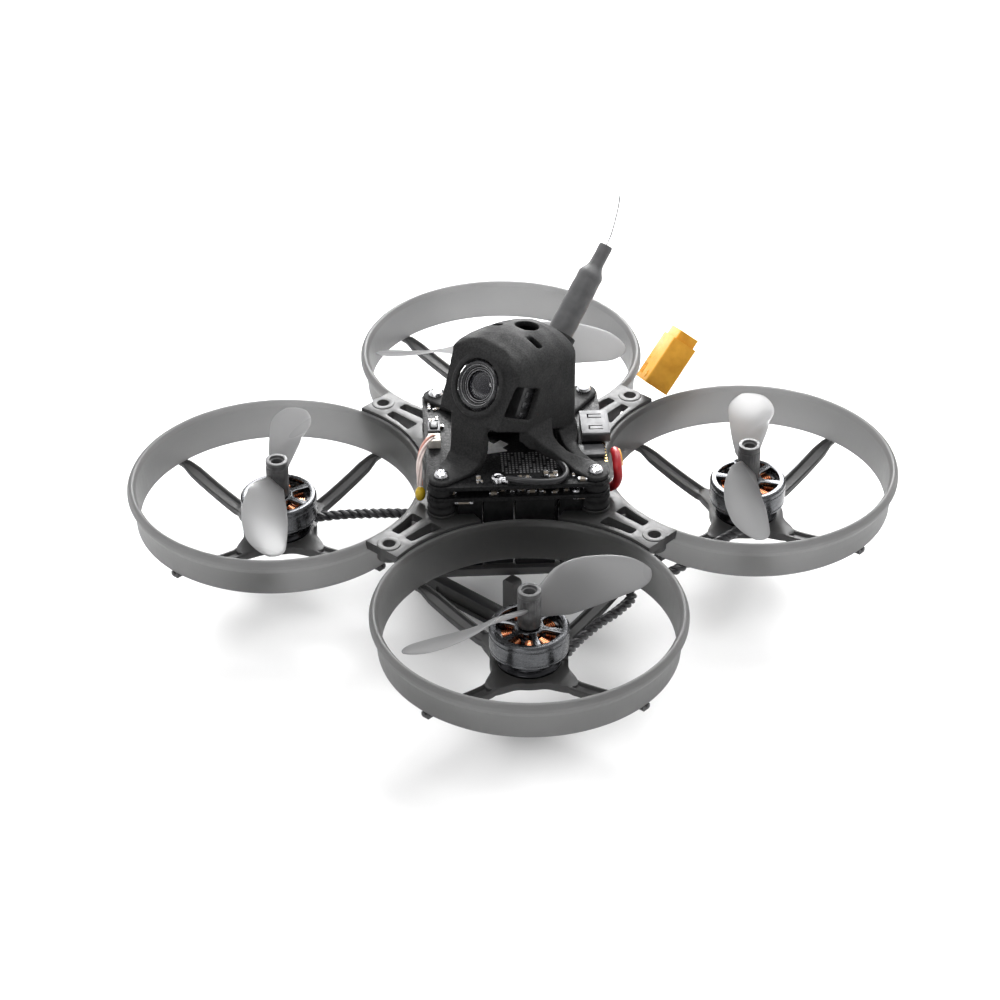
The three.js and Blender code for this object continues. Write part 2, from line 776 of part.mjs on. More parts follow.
// Battery leads: from the lower board, over the rear deck, under the rear web and out to the plug.
const redLeadPoints = [
  [17, 7.6, 31.6],
  [18.1, 6.7, 31.6],
  [19, 5.9, 31],
  [19.7, 5.3, 29.9],
  [19.9, 5.2, 28.6],
  [19.6, 5.1, 27.2],
  [18.8, 5, 26.1],
  [17.6, 4.8, 25.5],
  [16.5, 4.8, 25.4],
  [15.3, 5.5, 25.4],
  [14.2, 6.8, 25.3],
  [12.8, 8.2, 24.8],
  [10.9, 9.6, 23.9],
  [8.9, 11.3, 22.7],
  [7.3, 13.5, 21.2],
  [6.1, 16, 19.8],
  [4.8, 18.8, 18.9],
  [3.1, 24.8, 18.6],
  [1.8, 29, 18.4],
  [1.2, 32.4, 18.6],
  [1.3, 34.8, 19.9],
  [1.4, 36.1, 21.9],
];
const blackLeadPoints = [
  [9.2, 6.4, 26.9],
  [8.4, 7.8, 26.3],
  [7.2, 9.3, 25.2],
  [5.8, 10.7, 23.9],
  [4, 12, 22.6],
  [1.8, 13.1, 21.4],
  [-0.4, 14.1, 20.3],
  [-2.2, 15.3, 19.5],
  [-3.6, 17, 18.9],
  [-4.2, 19, 18.6],
  [-3.8, 21.4, 18.5],
  [-2.9, 24, 18.4],
  [-2.1, 26.4, 18.3],
  [-1.4, 28.6, 18.2],
  [-1, 30.8, 18],
  [-0.9, 33, 17.9],
  [-1.2, 35.2, 18.1],
  [-1.5, 36.7, 18.8],
  [-1.7, 37.9, 19.9],
];
add("power_lead_red", wire(redLeadPoints, 0.8, 26), wireRed);
add("power_lead_black", wire(blackLeadPoints, 0.8, 22), wireBlack);

// Two-pole battery plug: its long axis leans back and up behind the rear web.
const plugAxis = new THREE.Vector3(0.142, 0.665, 0.732).normalize();
const plugAcross = new THREE.Vector3(0.72, -0.576, 0.384);
plugAcross.addScaledVector(plugAxis, -plugAcross.dot(plugAxis)).normalize();
const plugThin = new THREE.Vector3().crossVectors(plugAxis, plugAcross);
const plugPlace = new THREE.Vector3(-0.1, 38.9, 23.9);

function powerPlug() {
  const half = 4.9;
  const thick = 2.5;
  const body = outline([[-half + 1.2, -thick], [half, -thick], [half, thick], [-half + 1.2, thick], [-half, thick - 1.2],
    [-half, -thick + 1.2]]);
  const face = outline([[-half + 1.6, -thick + 0.5], [half - 0.6, -thick + 0.5], [half - 0.6, thick - 0.5],
    [-half + 1.6, thick - 0.5], [-half + 0.6, thick - 1.5], [-half + 0.6, -thick + 1.5]]);
  const shell = union(slab(body, 0, 9.9), slab(face, 9.5, 11.7));
  const sockets = [-2.5, 2.5].map((x) => cylinder(1.15, 4, 13, x, 0, 12));
  return cut(shell, ...sockets);
}

const plugHolder = new THREE.Group();
plugHolder.applyMatrix4(new THREE.Matrix4().makeBasis(plugAcross, plugThin, plugAxis).setPosition(plugPlace));
drone.add(plugHolder);
add("power_plug", powerPlug(), plugYellow, plugHolder);

export default drone;
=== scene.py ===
import math
import random

import bmesh
import bpy
from mathutils import Matrix, Quaternion, Vector


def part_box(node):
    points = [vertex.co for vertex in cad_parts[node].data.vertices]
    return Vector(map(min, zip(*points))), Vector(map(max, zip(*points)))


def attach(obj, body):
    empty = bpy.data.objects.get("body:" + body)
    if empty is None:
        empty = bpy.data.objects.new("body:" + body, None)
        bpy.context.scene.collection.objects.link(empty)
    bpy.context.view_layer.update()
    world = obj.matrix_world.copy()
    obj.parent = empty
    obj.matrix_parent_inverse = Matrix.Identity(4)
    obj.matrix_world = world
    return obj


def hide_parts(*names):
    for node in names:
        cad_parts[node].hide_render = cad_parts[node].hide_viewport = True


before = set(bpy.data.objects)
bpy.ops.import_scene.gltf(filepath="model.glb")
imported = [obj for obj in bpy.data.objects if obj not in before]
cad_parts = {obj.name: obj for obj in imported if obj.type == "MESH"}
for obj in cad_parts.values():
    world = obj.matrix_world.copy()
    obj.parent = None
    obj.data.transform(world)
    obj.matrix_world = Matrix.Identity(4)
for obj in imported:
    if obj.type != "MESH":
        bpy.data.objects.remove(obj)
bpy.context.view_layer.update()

MM = 0.001
PLACES = ("front_left", "front_right", "rear_left", "rear_right")
CORNERS = {"rear": 0, "right": 90, "front": 180, "left": -90}
AIRFRAME = "airframe"


# ---------------------------------------------------------------- places and sizes, in millimetres
def span(node):
    """Lowest and highest corner of a CAD node, in millimetres."""
    low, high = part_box(node)
    return Vector(low) / MM, Vector(high) / MM


DUCT_LOW, DUCT_HIGH = span("duct_front_left")
RING_RADIUS = (DUCT_HIGH.x - DUCT_LOW.x) / 2
RING_FOOT, RING_TOP = DUCT_LOW.z, DUCT_HIGH.z
MOTOR_OFFSET = (DUCT_HIGH.x + DUCT_LOW.x) / 2
DECK_BOTTOM, DECK_TOP = span("center_plate")[0].z, span("center_plate")[1].z
DECK_REACH = span("center_plate")[1].x
BOARD_REACH = span("video_transmitter")[1].x
CONTROLLER_BOTTOM, CONTROLLER_TOP = (corner.z for corner in span("flight_controller"))
TRANSMITTER_BOTTOM, TRANSMITTER_TOP = (corner.z for corner in span("video_transmitter"))
SCREW_LOW, SCREW_HIGH = span("canopy_screw_rear")
SCREW_DISTANCE = (SCREW_LOW.y + SCREW_HIGH.y) / 2
WEB_OUTER = span("junction_web_rear")[1].y
COLUMN_TOP = span("junction_web_rear")[1].z
WEB_TOP = COLUMN_TOP - 0.5
BELL_LOW, BELL_HIGH = span("motor_bell_front_left")
BELL_RADIUS = (BELL_HIGH.x - BELL_LOW.x) / 2
BELL_BOTTOM, BELL_TOP = DECK_TOP + 2.9, DECK_TOP + 7.3
HUB_BOTTOM, HUB_TOP = BELL_TOP + 0.1, span("propeller_front_left")[1].z
BLADE_HEIGHT = BELL_TOP + 3.2
PROPELLER_RADIUS = 24
BLADE_ANGLES = {"front_left": 70, "front_right": 133, "rear_left": 132, "rear_right": 42}
BLADE_HANDS = {"front_left": 1, "front_right": -1, "rear_left": -1, "rear_right": 1}
CAMERA_TILT = math.radians(27)
LENS_FRONT = Vector((0, -9.9, 46.3))
ANTENNA_BASE = Vector((0, 12.1, 46.8))


def motor_place(place, turn=0):
    x = MOTOR_OFFSET if place.endswith("left") else -MOTOR_OFFSET
    y = MOTOR_OFFSET if place.startswith("rear") else -MOTOR_OFFSET
    return Matrix.Translation((x, y, 0)) @ Matrix.Rotation(math.radians(turn), 4, "Z")


def corner_place(corner):
    return Matrix.Rotation(math.radians(CORNERS[corner]), 4, "Z")


def lens_place(behind=0.0):
    """Local Z looks out of the lens and local X stays level."""
    forward = Vector((0, -math.cos(CAMERA_TILT), math.sin(CAMERA_TILT)))
    up = Vector((0, math.sin(CAMERA_TILT), math.cos(CAMERA_TILT)))
    side = up.cross(forward)
    turn = Matrix((side, up, forward)).transposed().to_4x4()
    return Matrix.Translation(LENS_FRONT - forward * behind) @ turn


ANTENNA_PLACE = Matrix.Translation(ANTENNA_BASE) @ Matrix.Rotation(math.radians(-45), 4, "X")
DIAGONAL = Matrix.Rotation(math.radians(45), 4, "Z")


# ---------------------------------------------------------------- mesh helpers, in millimetres
def rounded(points, radius, steps=4):
    """The closed outline with each corner turned into an arc of at most this radius."""
    result = []
    for i, point in enumerate(points):
        corner = Vector(point)
        back = Vector(points[i - 1]) - corner
        ahead = Vector(points[(i + 1) % len(points)]) - corner
        angle = back.angle(ahead)
        if angle > math.pi - 0.04:
            result.append(corner)
            continue
        reach = min(radius / math.tan(angle / 2), back.length * 0.48, ahead.length * 0.48)
        middle = (back.normalized() + ahead.normalized()).normalized()
        centre = corner + middle * (reach / math.cos(angle / 2))
        start = corner + back.normalized() * reach - centre
        end = corner + ahead.normalized() * reach - centre
        for step in range(steps + 1):
            result.append(centre + start.lerp(end, step / steps).normalized() * start.length)
    return result


def cleaned(bm):
    bmesh.ops.remove_doubles(bm, verts=bm.verts, dist=1e-4)
    bmesh.ops.recalc_face_normals(bm, faces=bm.faces)
    return bm


def bevelled(bm, width, steps=2, angle=30):
    """Every edge sharper than the angle gets a small round."""
    cleaned(bm)
    limit = math.radians(angle)
    edges = [edge for edge in bm.edges if edge.is_manifold and edge.calc_face_angle(0) > limit]
    bmesh.ops.bevel(bm, geom=edges, offset=width, offset_type="OFFSET", segments=steps, profile=0.5,
                    affect="EDGES", clamp_overlap=True)
    return bm


def plate(outer, low, high, holes=(), edge=0.15):
    """A flat plate between two heights, from an outline and holes of [x, y] points."""
    bm = bmesh.new()
    for points in (outer, *holes):
        ring = [bm.verts.new((point[0], point[1], low)) for point in points]
        for first, second in zip(ring, ring[1:] + ring[:1]):
            bm.edges.new((first, second))
    bmesh.ops.triangle_fill(bm, edges=bm.edges[:], use_beauty=True, use_dissolve=False)
    grown = bmesh.ops.extrude_face_region(bm, geom=bm.faces[:])
    moved = [item for item in grown["geom"] if isinstance(item, bmesh.types.BMVert)]
    bmesh.ops.translate(bm, verts=moved, vec=(0, 0, high - low))
    return bevelled(bm, edge, angle=40) if edge else cleaned(bm)


def circle(radius, x=0.0, y=0.0, steps=24):
    turns = [2 * math.pi * i / steps for i in range(steps)]
    return [(x + radius * math.cos(turn), y + radius * math.sin(turn)) for turn in turns]


def block(low, high, edge=0.1):
    outline = [(low[0], low[1]), (high[0], low[1]), (high[0], high[1]), (low[0], high[1])]
    return plate(outline, low[2], high[2], edge=edge)


def loft(rings, caps=True):
    """A body through equal rings of points."""
    bm = bmesh.new()
    rows = [[bm.verts.new(point) for point in ring] for ring in rings]
    for row, following in zip(rows, rows[1:]):
        for i in range(len(row)):
            j = (i + 1) % len(row)
            bm.faces.new((row[i], row[j], following[j], following[i]))
    if caps:
        bm.faces.new(rows[0][::-1])
        bm.faces.new(rows[-1])
    return cleaned(bm)


def revolved(profile, segments=64):
    """A solid of revolution about Z from a closed outline of [radius, height] points."""
    bm = bmesh.new()
    rows = []
    for i in range(segments):
        turn = 2 * math.pi * i / segments
        rows.append([bm.verts.new((r * math.cos(turn), r * math.sin(turn), z)) for r, z in profile])
    for i, row in enumerate(rows):
        following = rows[(i + 1) % segments]
        for j in range(len(row)):
            k = (j + 1) % len(row)
            if profile[j][0] < 1e-6 and profile[k][0] < 1e-6:
                continue
            bm.faces.new((row[j], following[j], following[k], row[k]))
    return cleaned(bm)


def turned(profile, edge=0.12, segments=64):
    """A solid of revolution with its corners rounded, except those on the axis."""
    soft = rounded(profile, edge, steps=3)
    kept = [point if radius > 1e-6 else None for point, (radius, _) in zip(profile, profile)]
    if None in kept:
        soft = [Vector((max(point.x, 0), point.y)) for point in soft]
    return revolved([(max(point.x, 0.0), point.y) for point in soft], segments)


def moved(bm, matrix):
    bm.transform(matrix)
    return bm


def merged(parts):
    """One mesh of several; the parts are used up."""
    whole = bmesh.new()
    for part in parts:
        mesh = bpy.data.meshes.new("part")
        part.to_mesh(mesh)
        part.free()
        whole.from_mesh(mesh)
        bpy.data.meshes.remove(mesh)
    return whole


def temporary(bm):
    mesh = bpy.data.meshes.new("temporary")
    bm.to_mesh(mesh)
    bm.free()
    obj = bpy.data.objects.new("temporary", mesh)
    bpy.context.scene.collection.objects.link(obj)
    return obj


def evaluated(obj, *others):
    """The mesh of a temporary object after its modifiers, and the objects are removed."""
    graph = bpy.context.evaluated_depsgraph_get()
    mesh = bpy.data.meshes.new_from_object(obj.evaluated_get(graph))
    bm = bmesh.new()
    bm.from_mesh(mesh)
    bpy.data.meshes.remove(mesh)
    for item in (obj, *others):
        data = item.data
        bpy.data.objects.remove(item)
        bpy.data.meshes.remove(data)
    return bm


def combined(base, others, operation="DIFFERENCE"):
    """base with the other closed meshes cut from it, joined to it or kept in common with it."""
    for other in others:
        target = temporary(cleaned(base))
        tool = temporary(cleaned(other))
        modifier = target.modifiers.new("boolean", "BOOLEAN")
        modifier.operation = operation
        modifier.solver = "EXACT"
        modifier.object = tool
        base = evaluated(target, tool)
    return base


def softened(bm, voxel, rounds):
    """Remeshed evenly and smoothed, so that every corner gets a moulded round."""
    obj = temporary(bm)
    remesh = obj.modifiers.new("remesh", "REMESH")
    remesh.mode = "VOXEL"
    remesh.voxel_size = voxel
    smooth = obj.modifiers.new("smooth", "SMOOTH")
    smooth.iterations = rounds
    smooth.factor = 0.5
    return evaluated(obj)


def smooth_route(points, steps=8):
    """Points along a centripetal Catmull-Rom curve through the given ones."""
    knots = [Vector(point) for point in points]
    knots = [knots[0] * 2 - knots[1], *knots, knots[-1] * 2 - knots[-2]]
    line = []
    for a, b, c, d in zip(knots, knots[1:], knots[2:], knots[3:]):
        before, here, after = ((q - p).length ** 0.5 for p, q in ((a, b), (b, c), (c, d)))
        leave = ((b - a) / before - (c - a) / (before + here) + (c - b) / here) * here
        arrive = ((c - b) / here - (d - b) / (here + after) + (d - c) / after) * here
        for i in range(steps):
            t = i / steps
            near = b * (2 * t ** 3 - 3 * t ** 2 + 1) + leave * (t ** 3 - 2 * t ** 2 + t)
            line.append(near + c * (3 * t ** 2 - 2 * t ** 3) + arrive * (t ** 3 - t ** 2))
    line.append(knots[-2])
    return line


def steady_frames(line):
    """Direction and two sideways axes at each point of a line, without sudden twist."""
    result = []
    side = None
    for i, point in enumerate(line):
        ahead = line[min(i + 1, len(line) - 1)] - line[max(i - 1, 0)]
        ahead.normalize()
        if side is None:
            side = ahead.orthogonal().normalized()
        side = (side - ahead * side.dot(ahead)).normalized()
        result.append((point, side, ahead.cross(side)))
    return result


def tube(line, radius, sides=14):
    """A round tube along a line; the radius is a number or a function of the share along it."""
    rings = []
    for i, (point, side, other) in enumerate(steady_frames(line)):
        size = radius(i / (len(line) - 1)) if callable(radius) else radius
        turns = [2 * math.pi * k / sides for k in range(sides)]
        rings.append([point + (side * math.cos(turn) + other * math.sin(turn)) * size for turn in turns])
    return loft(rings)


def strand(line, offset, pitch, start):
    """A line that winds round another one at an offset."""
    result = []
    along = 0.0
    for i, (point, side, other) in enumerate(steady_frames(line)):
        if i:
            along += (point - line[i - 1]).length
        turn = start + 2 * math.pi * along / pitch
        result.append(point + (side * math.cos(turn) + other * math.sin(turn)) * offset)
    return result


def piece(name, bm, look, place=Matrix(), body=AIRFRAME, stands_for=(), sharp=32):
    """A finished object: its place is in its mesh, and it rides on a CAD body."""
    cleaned(bm)
    limit = math.radians(sharp)
    for face in bm.faces:
        face.smooth = True
    for edge in bm.edges:
        edge.smooth = edge.is_manifold and edge.calc_face_angle(0) < limit
    mesh = bpy.data.meshes.new(name)
    bm.to_mesh(mesh)
    bm.free()
    mesh.transform(Matrix.Scale(MM, 4) @ place)
    mesh.materials.append(look)
    obj = bpy.data.objects.new(name, mesh)
    bpy.context.scene.collection.objects.link(obj)
    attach(obj, body)
    if stands_for:
        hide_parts(*stands_for)
    return obj


# ---------------------------------------------------------------- material helpers
class Look:
    """A material and its principled shader, with short ways to add texture nodes."""

    def __init__(self, name):
        self.material = bpy.data.materials.new(name)
        self.material.use_nodes = True
        self.tree = self.material.node_tree
        self.shader = self.tree.nodes["Principled BSDF"]
        self.place = self.node("ShaderNodeTexCoord").outputs["Object"]

    def node(self, kind, inputs=None, **settings):
        made = self.tree.nodes.new(kind)
        for key, value in settings.items():
            setattr(made, key, value)
        for key, value in (inputs or {}).items():
            self.feed(made.inputs[key], value)
        return made

    def feed(self, socket, value):
        if isinstance(value, bpy.types.NodeSocket):
            self.tree.links.new(value, socket)
        else:
            socket.default_value = value

    def set(self, **values):
        for key, value in values.items():
            self.feed(self.shader.inputs[key.replace("_", " ")], value)
        return self

    def noise(self, size_mm, detail=3.0, stretch=(1, 1, 1)):
        """Noise with features of about the given size."""
        mapping = self.node("ShaderNodeMapping", {"Vector": self.place, "Scale": stretch})
        values = {"Vector": mapping.outputs[0], "Scale": 1 / (size_mm * MM), "Detail": detail}
        return self.node("ShaderNodeTexNoise", values).outputs["Fac"]

    def ramp(self, value, low, high, start=0.35, end=0.65):
        """Colours or grey levels from low to high as the value goes from start to end."""
        made = self.node("ShaderNodeValToRGB", {"Fac": value})
        for element, place, color in zip(made.color_ramp.elements, (start, end), (low, high)):
            element.position = place
            element.color = (*color, 1) if isinstance(color, tuple) else (color, color, color, 1)
        return made.outputs["Color"]

    def bump(self, height, depth_mm, strength=1.0):
        values = {"Height": height, "Distance": depth_mm * MM, "Strength": strength}
        self.feed(self.shader.inputs["Normal"], self.node("ShaderNodeBump", values).outputs["Normal"])
        return self

    def backlit(self, share, tint):
        """Some of the light behind a thin wall shows through it."""
        through = self.node("ShaderNodeBsdfTranslucent", {"Color": (*tint, 1)})
        mixed = self.node("ShaderNodeMixShader", {"Fac": share})
        self.tree.links.new(self.shader.outputs["BSDF"], mixed.inputs[1])
        self.tree.links.new(through.outputs["BSDF"], mixed.inputs[2])
        self.tree.links.new(mixed.outputs["Shader"], self.tree.nodes["Material Output"].inputs["Surface"])
        return self

    def add(self, first, second, share=0.5):
        """A mix of two grey levels."""
        mixed = self.node("ShaderNodeMix", data_type="FLOAT")
        self.feed(mixed.inputs["Factor"], share)
        self.feed(mixed.inputs["A"], first)
        self.feed(mixed.inputs["B"], second)
        return mixed.outputs["Result"]


def smoky_plastic(name, dark, light, clear, share, tint):
    """Smoke-grey plastic: thin walls let light through, thick parts look nearly black."""
    look = Look(name)
    cloud = look.noise(14, 3)
    scuffs = look.noise(0.5, 2, (1, 1, 0.15))
    look.set(Base_Color=look.ramp(cloud, (dark, dark, dark), (light, light, light)))
    look.set(Roughness=look.ramp(scuffs, 0.34, 0.46), Alpha=look.ramp(cloud, 1 - clear / 2, 1 - clear), IOR=1.5)
    look.bump(look.add(scuffs, look.noise(0.25)), 0.008)
    return look.backlit(share, (tint, tint, tint)).material


def blade_plastic():
    look = Look("blade_plastic")
    cloud = look.noise(30, 1)
    look.set(Base_Color=look.ramp(cloud, (0.13, 0.13, 0.132), (0.16, 0.16, 0.162)))
    look.set(Roughness=look.ramp(cloud, 0.26, 0.3), Alpha=look.ramp(cloud, 0.9, 0.88), IOR=1.55)
    return look.backlit(0.45, (0.72, 0.72, 0.725)).material


def hub_plastic():
    look = Look("hub_plastic")
    look.set(Base_Color=look.ramp(look.noise(1.5), (0.05, 0.05, 0.051), (0.1, 0.1, 0.102)))
    look.set(Roughness=look.ramp(look.noise(0.3), 0.35, 0.55))
    return look.bump(look.noise(0.3), 0.03).material


def canopy_plastic():
    look = Look("canopy_plastic")
    grain = look.noise(0.32, 6)
    patch = look.noise(3.5, 3)
    base = look.ramp(look.add(grain, patch, 0.4), (0.005, 0.005, 0.0052), (0.024, 0.024, 0.0245), 0.36, 0.64)
    look.set(Base_Color=base, Roughness=look.ramp(patch, 0.62, 0.88), Specular_IOR_Level=0.3)
    return look.bump(look.add(grain, look.noise(0.12), 0.4), 0.07, 0.9).material


def board_mask(name, dark, light):
    """Solder mask with raised copper traces under it and fine print-like specks."""
    look = Look(name)
    turned_place = look.node("ShaderNodeMapping", {"Vector": look.place, "Rotation": (0, 0, math.radians(45))})
    values = {"Vector": turned_place.outputs[0], "Scale": 1 / (0.9 * MM)}
    cells = look.node("ShaderNodeTexVoronoi", values, distance="MANHATTAN", feature="DISTANCE_TO_EDGE")
    traces = look.ramp(cells.outputs["Distance"], 0.0, 1.0, 0.04, 0.12)
    look.set(Base_Color=look.ramp(look.add(look.noise(1.1), traces, 0.35), dark, light))
    look.set(Roughness=look.ramp(look.noise(0.8), 0.36, 0.5), Specular_IOR_Level=0.14)
    return look.bump(traces, 0.03, 0.7).material


def pebbled(name, dark, light, rough=(0.5, 0.7), size=0.5, depth=0.02, **sockets):
    """Plain plastic, rubber or cast metal: two close tones, uneven gloss and a fine bump."""
    look = Look(name)
    look.set(Base_Color=look.ramp(look.noise(size * 4), dark, light), **sockets)
    look.set(Roughness=look.ramp(look.noise(size * 2), *rough))
    return look.bump(look.noise(size), depth).material


def turned_metal(name, dark, light, rough=(0.2, 0.34), stretch=(1, 1, 14), size=1.4):
    """Metal with fine lathe marks round the vertical axis."""
    look = Look(name)
    marks = look.noise(size, 4, stretch)
    look.set(Base_Color=look.ramp(marks, dark, light), Metallic=1.0)
    look.set(Roughness=look.ramp(look.noise(0.7), *rough))
    return look.bump(marks, 0.012, 0.5).material


def copper_winding():
    look = Look("copper_winding")
    look.set(Base_Color=look.ramp(look.noise(0.5), (0.5, 0.16, 0.06), (0.85, 0.36, 0.17)), Metallic=1.0)
    return look.set(Roughness=look.ramp(look.noise(0.3), 0.18, 0.3), Coat_Weight=0.6).material


def laminated_core():
    look = Look("laminated_core")
    layers = look.noise(0.9, 1, (0.05, 0.05, 9))
    look.set(Base_Color=look.ramp(layers, (0.012, 0.012, 0.013), (0.06, 0.06, 0.065)))
    look.set(Roughness=look.ramp(look.noise(0.4), 0.2, 0.4), Metallic=0.4, Coat_Weight=0.5)
    return look.bump(layers, 0.05).material


def lens_glass():
    look = Look("lens_glass")
    look.set(Base_Color=look.ramp(look.noise(5), (0.02, 0.022, 0.03), (0.03, 0.028, 0.036)), Alpha=0.42)
    return look.set(Roughness=look.ramp(look.noise(2), 0.02, 0.04), IOR=1.7, Coat_Weight=1.0).material


def solder():
    look = Look("solder")
    look.set(Base_Color=look.ramp(look.noise(0.5), (0.5, 0.5, 0.52), (0.8, 0.8, 0.82)), Metallic=1.0)
    return look.set(Roughness=look.ramp(look.noise(0.4), 0.15, 0.35)).bump(look.noise(0.5), 0.05).material


def plug_nylon():
    look = Look("plug_nylon")
    base = look.ramp(look.noise(2.5), (0.64, 0.29, 0.018), (0.78, 0.38, 0.035))
    look.set(Base_Color=base, Roughness=look.ramp(look.noise(0.5), 0.34, 0.5))
    look.set(Subsurface_Weight=0.15, Subsurface_Radius=(0.002, 0.001, 0.0004))
    return look.bump(look.noise(0.4), 0.02).material


def floor_paint():
    look = Look("floor_paint")
    look.set(Base_Color=look.ramp(look.noise(400), (0.86, 0.86, 0.86), (0.88, 0.88, 0.88)))
    return look.set(Roughness=0.9).material


THIN_SMOKY = smoky_plastic("thin_smoky", 0.026, 0.04, 0.09, 0.46, 0.58)
THICK_SMOKY = smoky_plastic("thick_smoky", 0.018, 0.03, 0.04, 0.3, 0.34)
BLADE = blade_plastic()
HUB = hub_plastic()
CANOPY = canopy_plastic()
TOP_MASK = board_mask("top_mask", (0.003, 0.003, 0.0035), (0.011, 0.011, 0.0115))
LOWER_MASK = board_mask("lower_mask", (0.003, 0.003, 0.0035), (0.009, 0.009, 0.0095))
RUBBER = pebbled("damper_rubber", (0.006, 0.006, 0.0065), (0.014, 0.014, 0.0145), (0.6, 0.8), 0.3,
                 Specular_IOR_Level=0.25)
STEEL = turned_metal("screw_steel", (0.62, 0.62, 0.64), (0.85, 0.85, 0.87), (0.16, 0.3))
# Steel of the port and switch shells, darkened far below bare steel: painted shade in place of their bright
# reflection.
SHADED_PORT_STEEL = pebbled("port_steel", (0.05, 0.05, 0.052), (0.08, 0.08, 0.082), (0.42, 0.54), 0.6, 0.01,
                     Metallic=0.85)
BELL = turned_metal("bell_aluminium", (0.085, 0.087, 0.092), (0.115, 0.118, 0.124), (0.22, 0.32), size=3)
# Light metal for thin lens rings: painted highlights standing in for the bright arcs on the lens edges.
HIGHLIGHT_METAL = turned_metal("painted_highlight_edge", (0.34, 0.34, 0.35), (0.52, 0.52, 0.53), (0.25, 0.4))
BASE_BLACK = turned_metal("base_anodised", (0.02, 0.02, 0.022), (0.05, 0.05, 0.054), (0.12, 0.22))
MAGNET = pebbled("magnet_nickel", (0.2, 0.2, 0.205), (0.3, 0.3, 0.31), (0.25, 0.4), 0.4, 0.01, Metallic=0.8)
COPPER = copper_winding()
CORE = laminated_core()
SOLDER = solder()
GOLD = pebbled("pad_gold", (0.55, 0.36, 0.12), (0.8, 0.58, 0.25), (0.2, 0.35), 0.3, 0.01, Metallic=1.0)
CHIP = pebbled("chip_epoxy", (0.035, 0.035, 0.037), (0.055, 0.055, 0.058), (0.4, 0.55), 0.25, 0.02)
# Near-black chip epoxy, darkened so that its lit faces still read black, which is partly painted shade. It also
# colours the blocks that paint the shade under and between the boards.
DARK_CHIP_AND_SHADE = pebbled("dark_chip_and_shade", (0.002, 0.002, 0.0025), (0.007, 0.007, 0.0075), (0.4, 0.55), 0.25, 0.02,
                    Specular_IOR_Level=0.16)
CERAMIC = pebbled("part_ceramic", (0.16, 0.13, 0.1), (0.26, 0.23, 0.19), (0.3, 0.5), 0.25, 0.01)
PRINT_WHITE = pebbled("print_white", (0.6, 0.6, 0.6), (0.74, 0.74, 0.74), (0.5, 0.7), 0.2, 0.01)
BUTTON = pebbled("button_black", (0.02, 0.022, 0.024), (0.045, 0.047, 0.05), (0.3, 0.45), 0.3, 0.01)
NYLON = pebbled("connector_nylon", (0.5, 0.48, 0.44), (0.68, 0.66, 0.6), (0.35, 0.5), 0.4, 0.01)
PLUG = plug_nylon()
BEAD = pebbled("bead_yellow", (0.5, 0.33, 0.015), (0.68, 0.47, 0.03), (0.2, 0.35), 0.5, 0.02)
WIRE_BLACK = pebbled("wire_black", (0.008, 0.008, 0.009), (0.02, 0.02, 0.022), (0.3, 0.46), 0.5, 0.01)
WIRE_RED = pebbled("wire_red", (0.3, 0.008, 0.014), (0.42, 0.016, 0.02), (0.28, 0.42), 0.6, 0.01)
WIRE_PALE = pebbled("wire_pale", (0.62, 0.5, 0.47), (0.78, 0.68, 0.64), (0.35, 0.5), 0.5, 0.01)
WIRE_PINK = pebbled("wire_pink", (0.55, 0.25, 0.2), (0.7, 0.38, 0.3), (0.35, 0.5), 0.5, 0.01)
CAMERA = pebbled("camera_black", (0.012, 0.012, 0.013), (0.028, 0.028, 0.03), (0.36, 0.5), 0.3, 0.015)
BARREL = pebbled("barrel_black", (0.02, 0.02, 0.022), (0.042, 0.042, 0.045), (0.2, 0.32), 0.3, 0.01)
IRIS = pebbled("iris_rings", (0.035, 0.034, 0.038), (0.06, 0.058, 0.064), (0.12, 0.2), 4, 0.001, Metallic=0.7)
PAD = pebbled("pad_grey", (0.1, 0.1, 0.102), (0.2, 0.2, 0.205), (0.4, 0.55), 0.4, 0.005)
GLASS = lens_glass()
SLEEVE = pebbled("sleeve_grey", (0.07, 0.07, 0.072), (0.088, 0.088, 0.09), (0.46, 0.6), 0.3, 0.03)
WHIP = pebbled("whip_wire", (0.16, 0.16, 0.165), (0.24, 0.24, 0.245))
FLOOR = floor_paint()


# ---------------------------------------------------------------- camera
def add_camera():
    azimuth, elevation, roll = (math.radians(angle) for angle in (41.92, 33.82, -0.20))
    target = Vector((4.77, -9.13, RING_TOP))
    back = Vector((math.sin(azimuth) * math.cos(elevation), -math.cos(azimuth) * math.cos(elevation),
                   math.sin(elevation)))
    camera = bpy.data.objects.new("camera", bpy.data.cameras.new("camera"))
    bpy.context.scene.collection.objects.link(camera)
    camera.location = (target + back * 508.8) * MM
    camera.rotation_mode = "QUATERNION"
    camera.rotation_quaternion = (-back).to_track_quat("-Z", "Y") @ Quaternion((0, 0, 1), roll)
    camera.data.sensor_width = 36
    camera.data.lens = 103.4
    camera.data.clip_start = 0.01
    camera.data.clip_end = 20
    bpy.context.scene.camera = camera


add_camera()

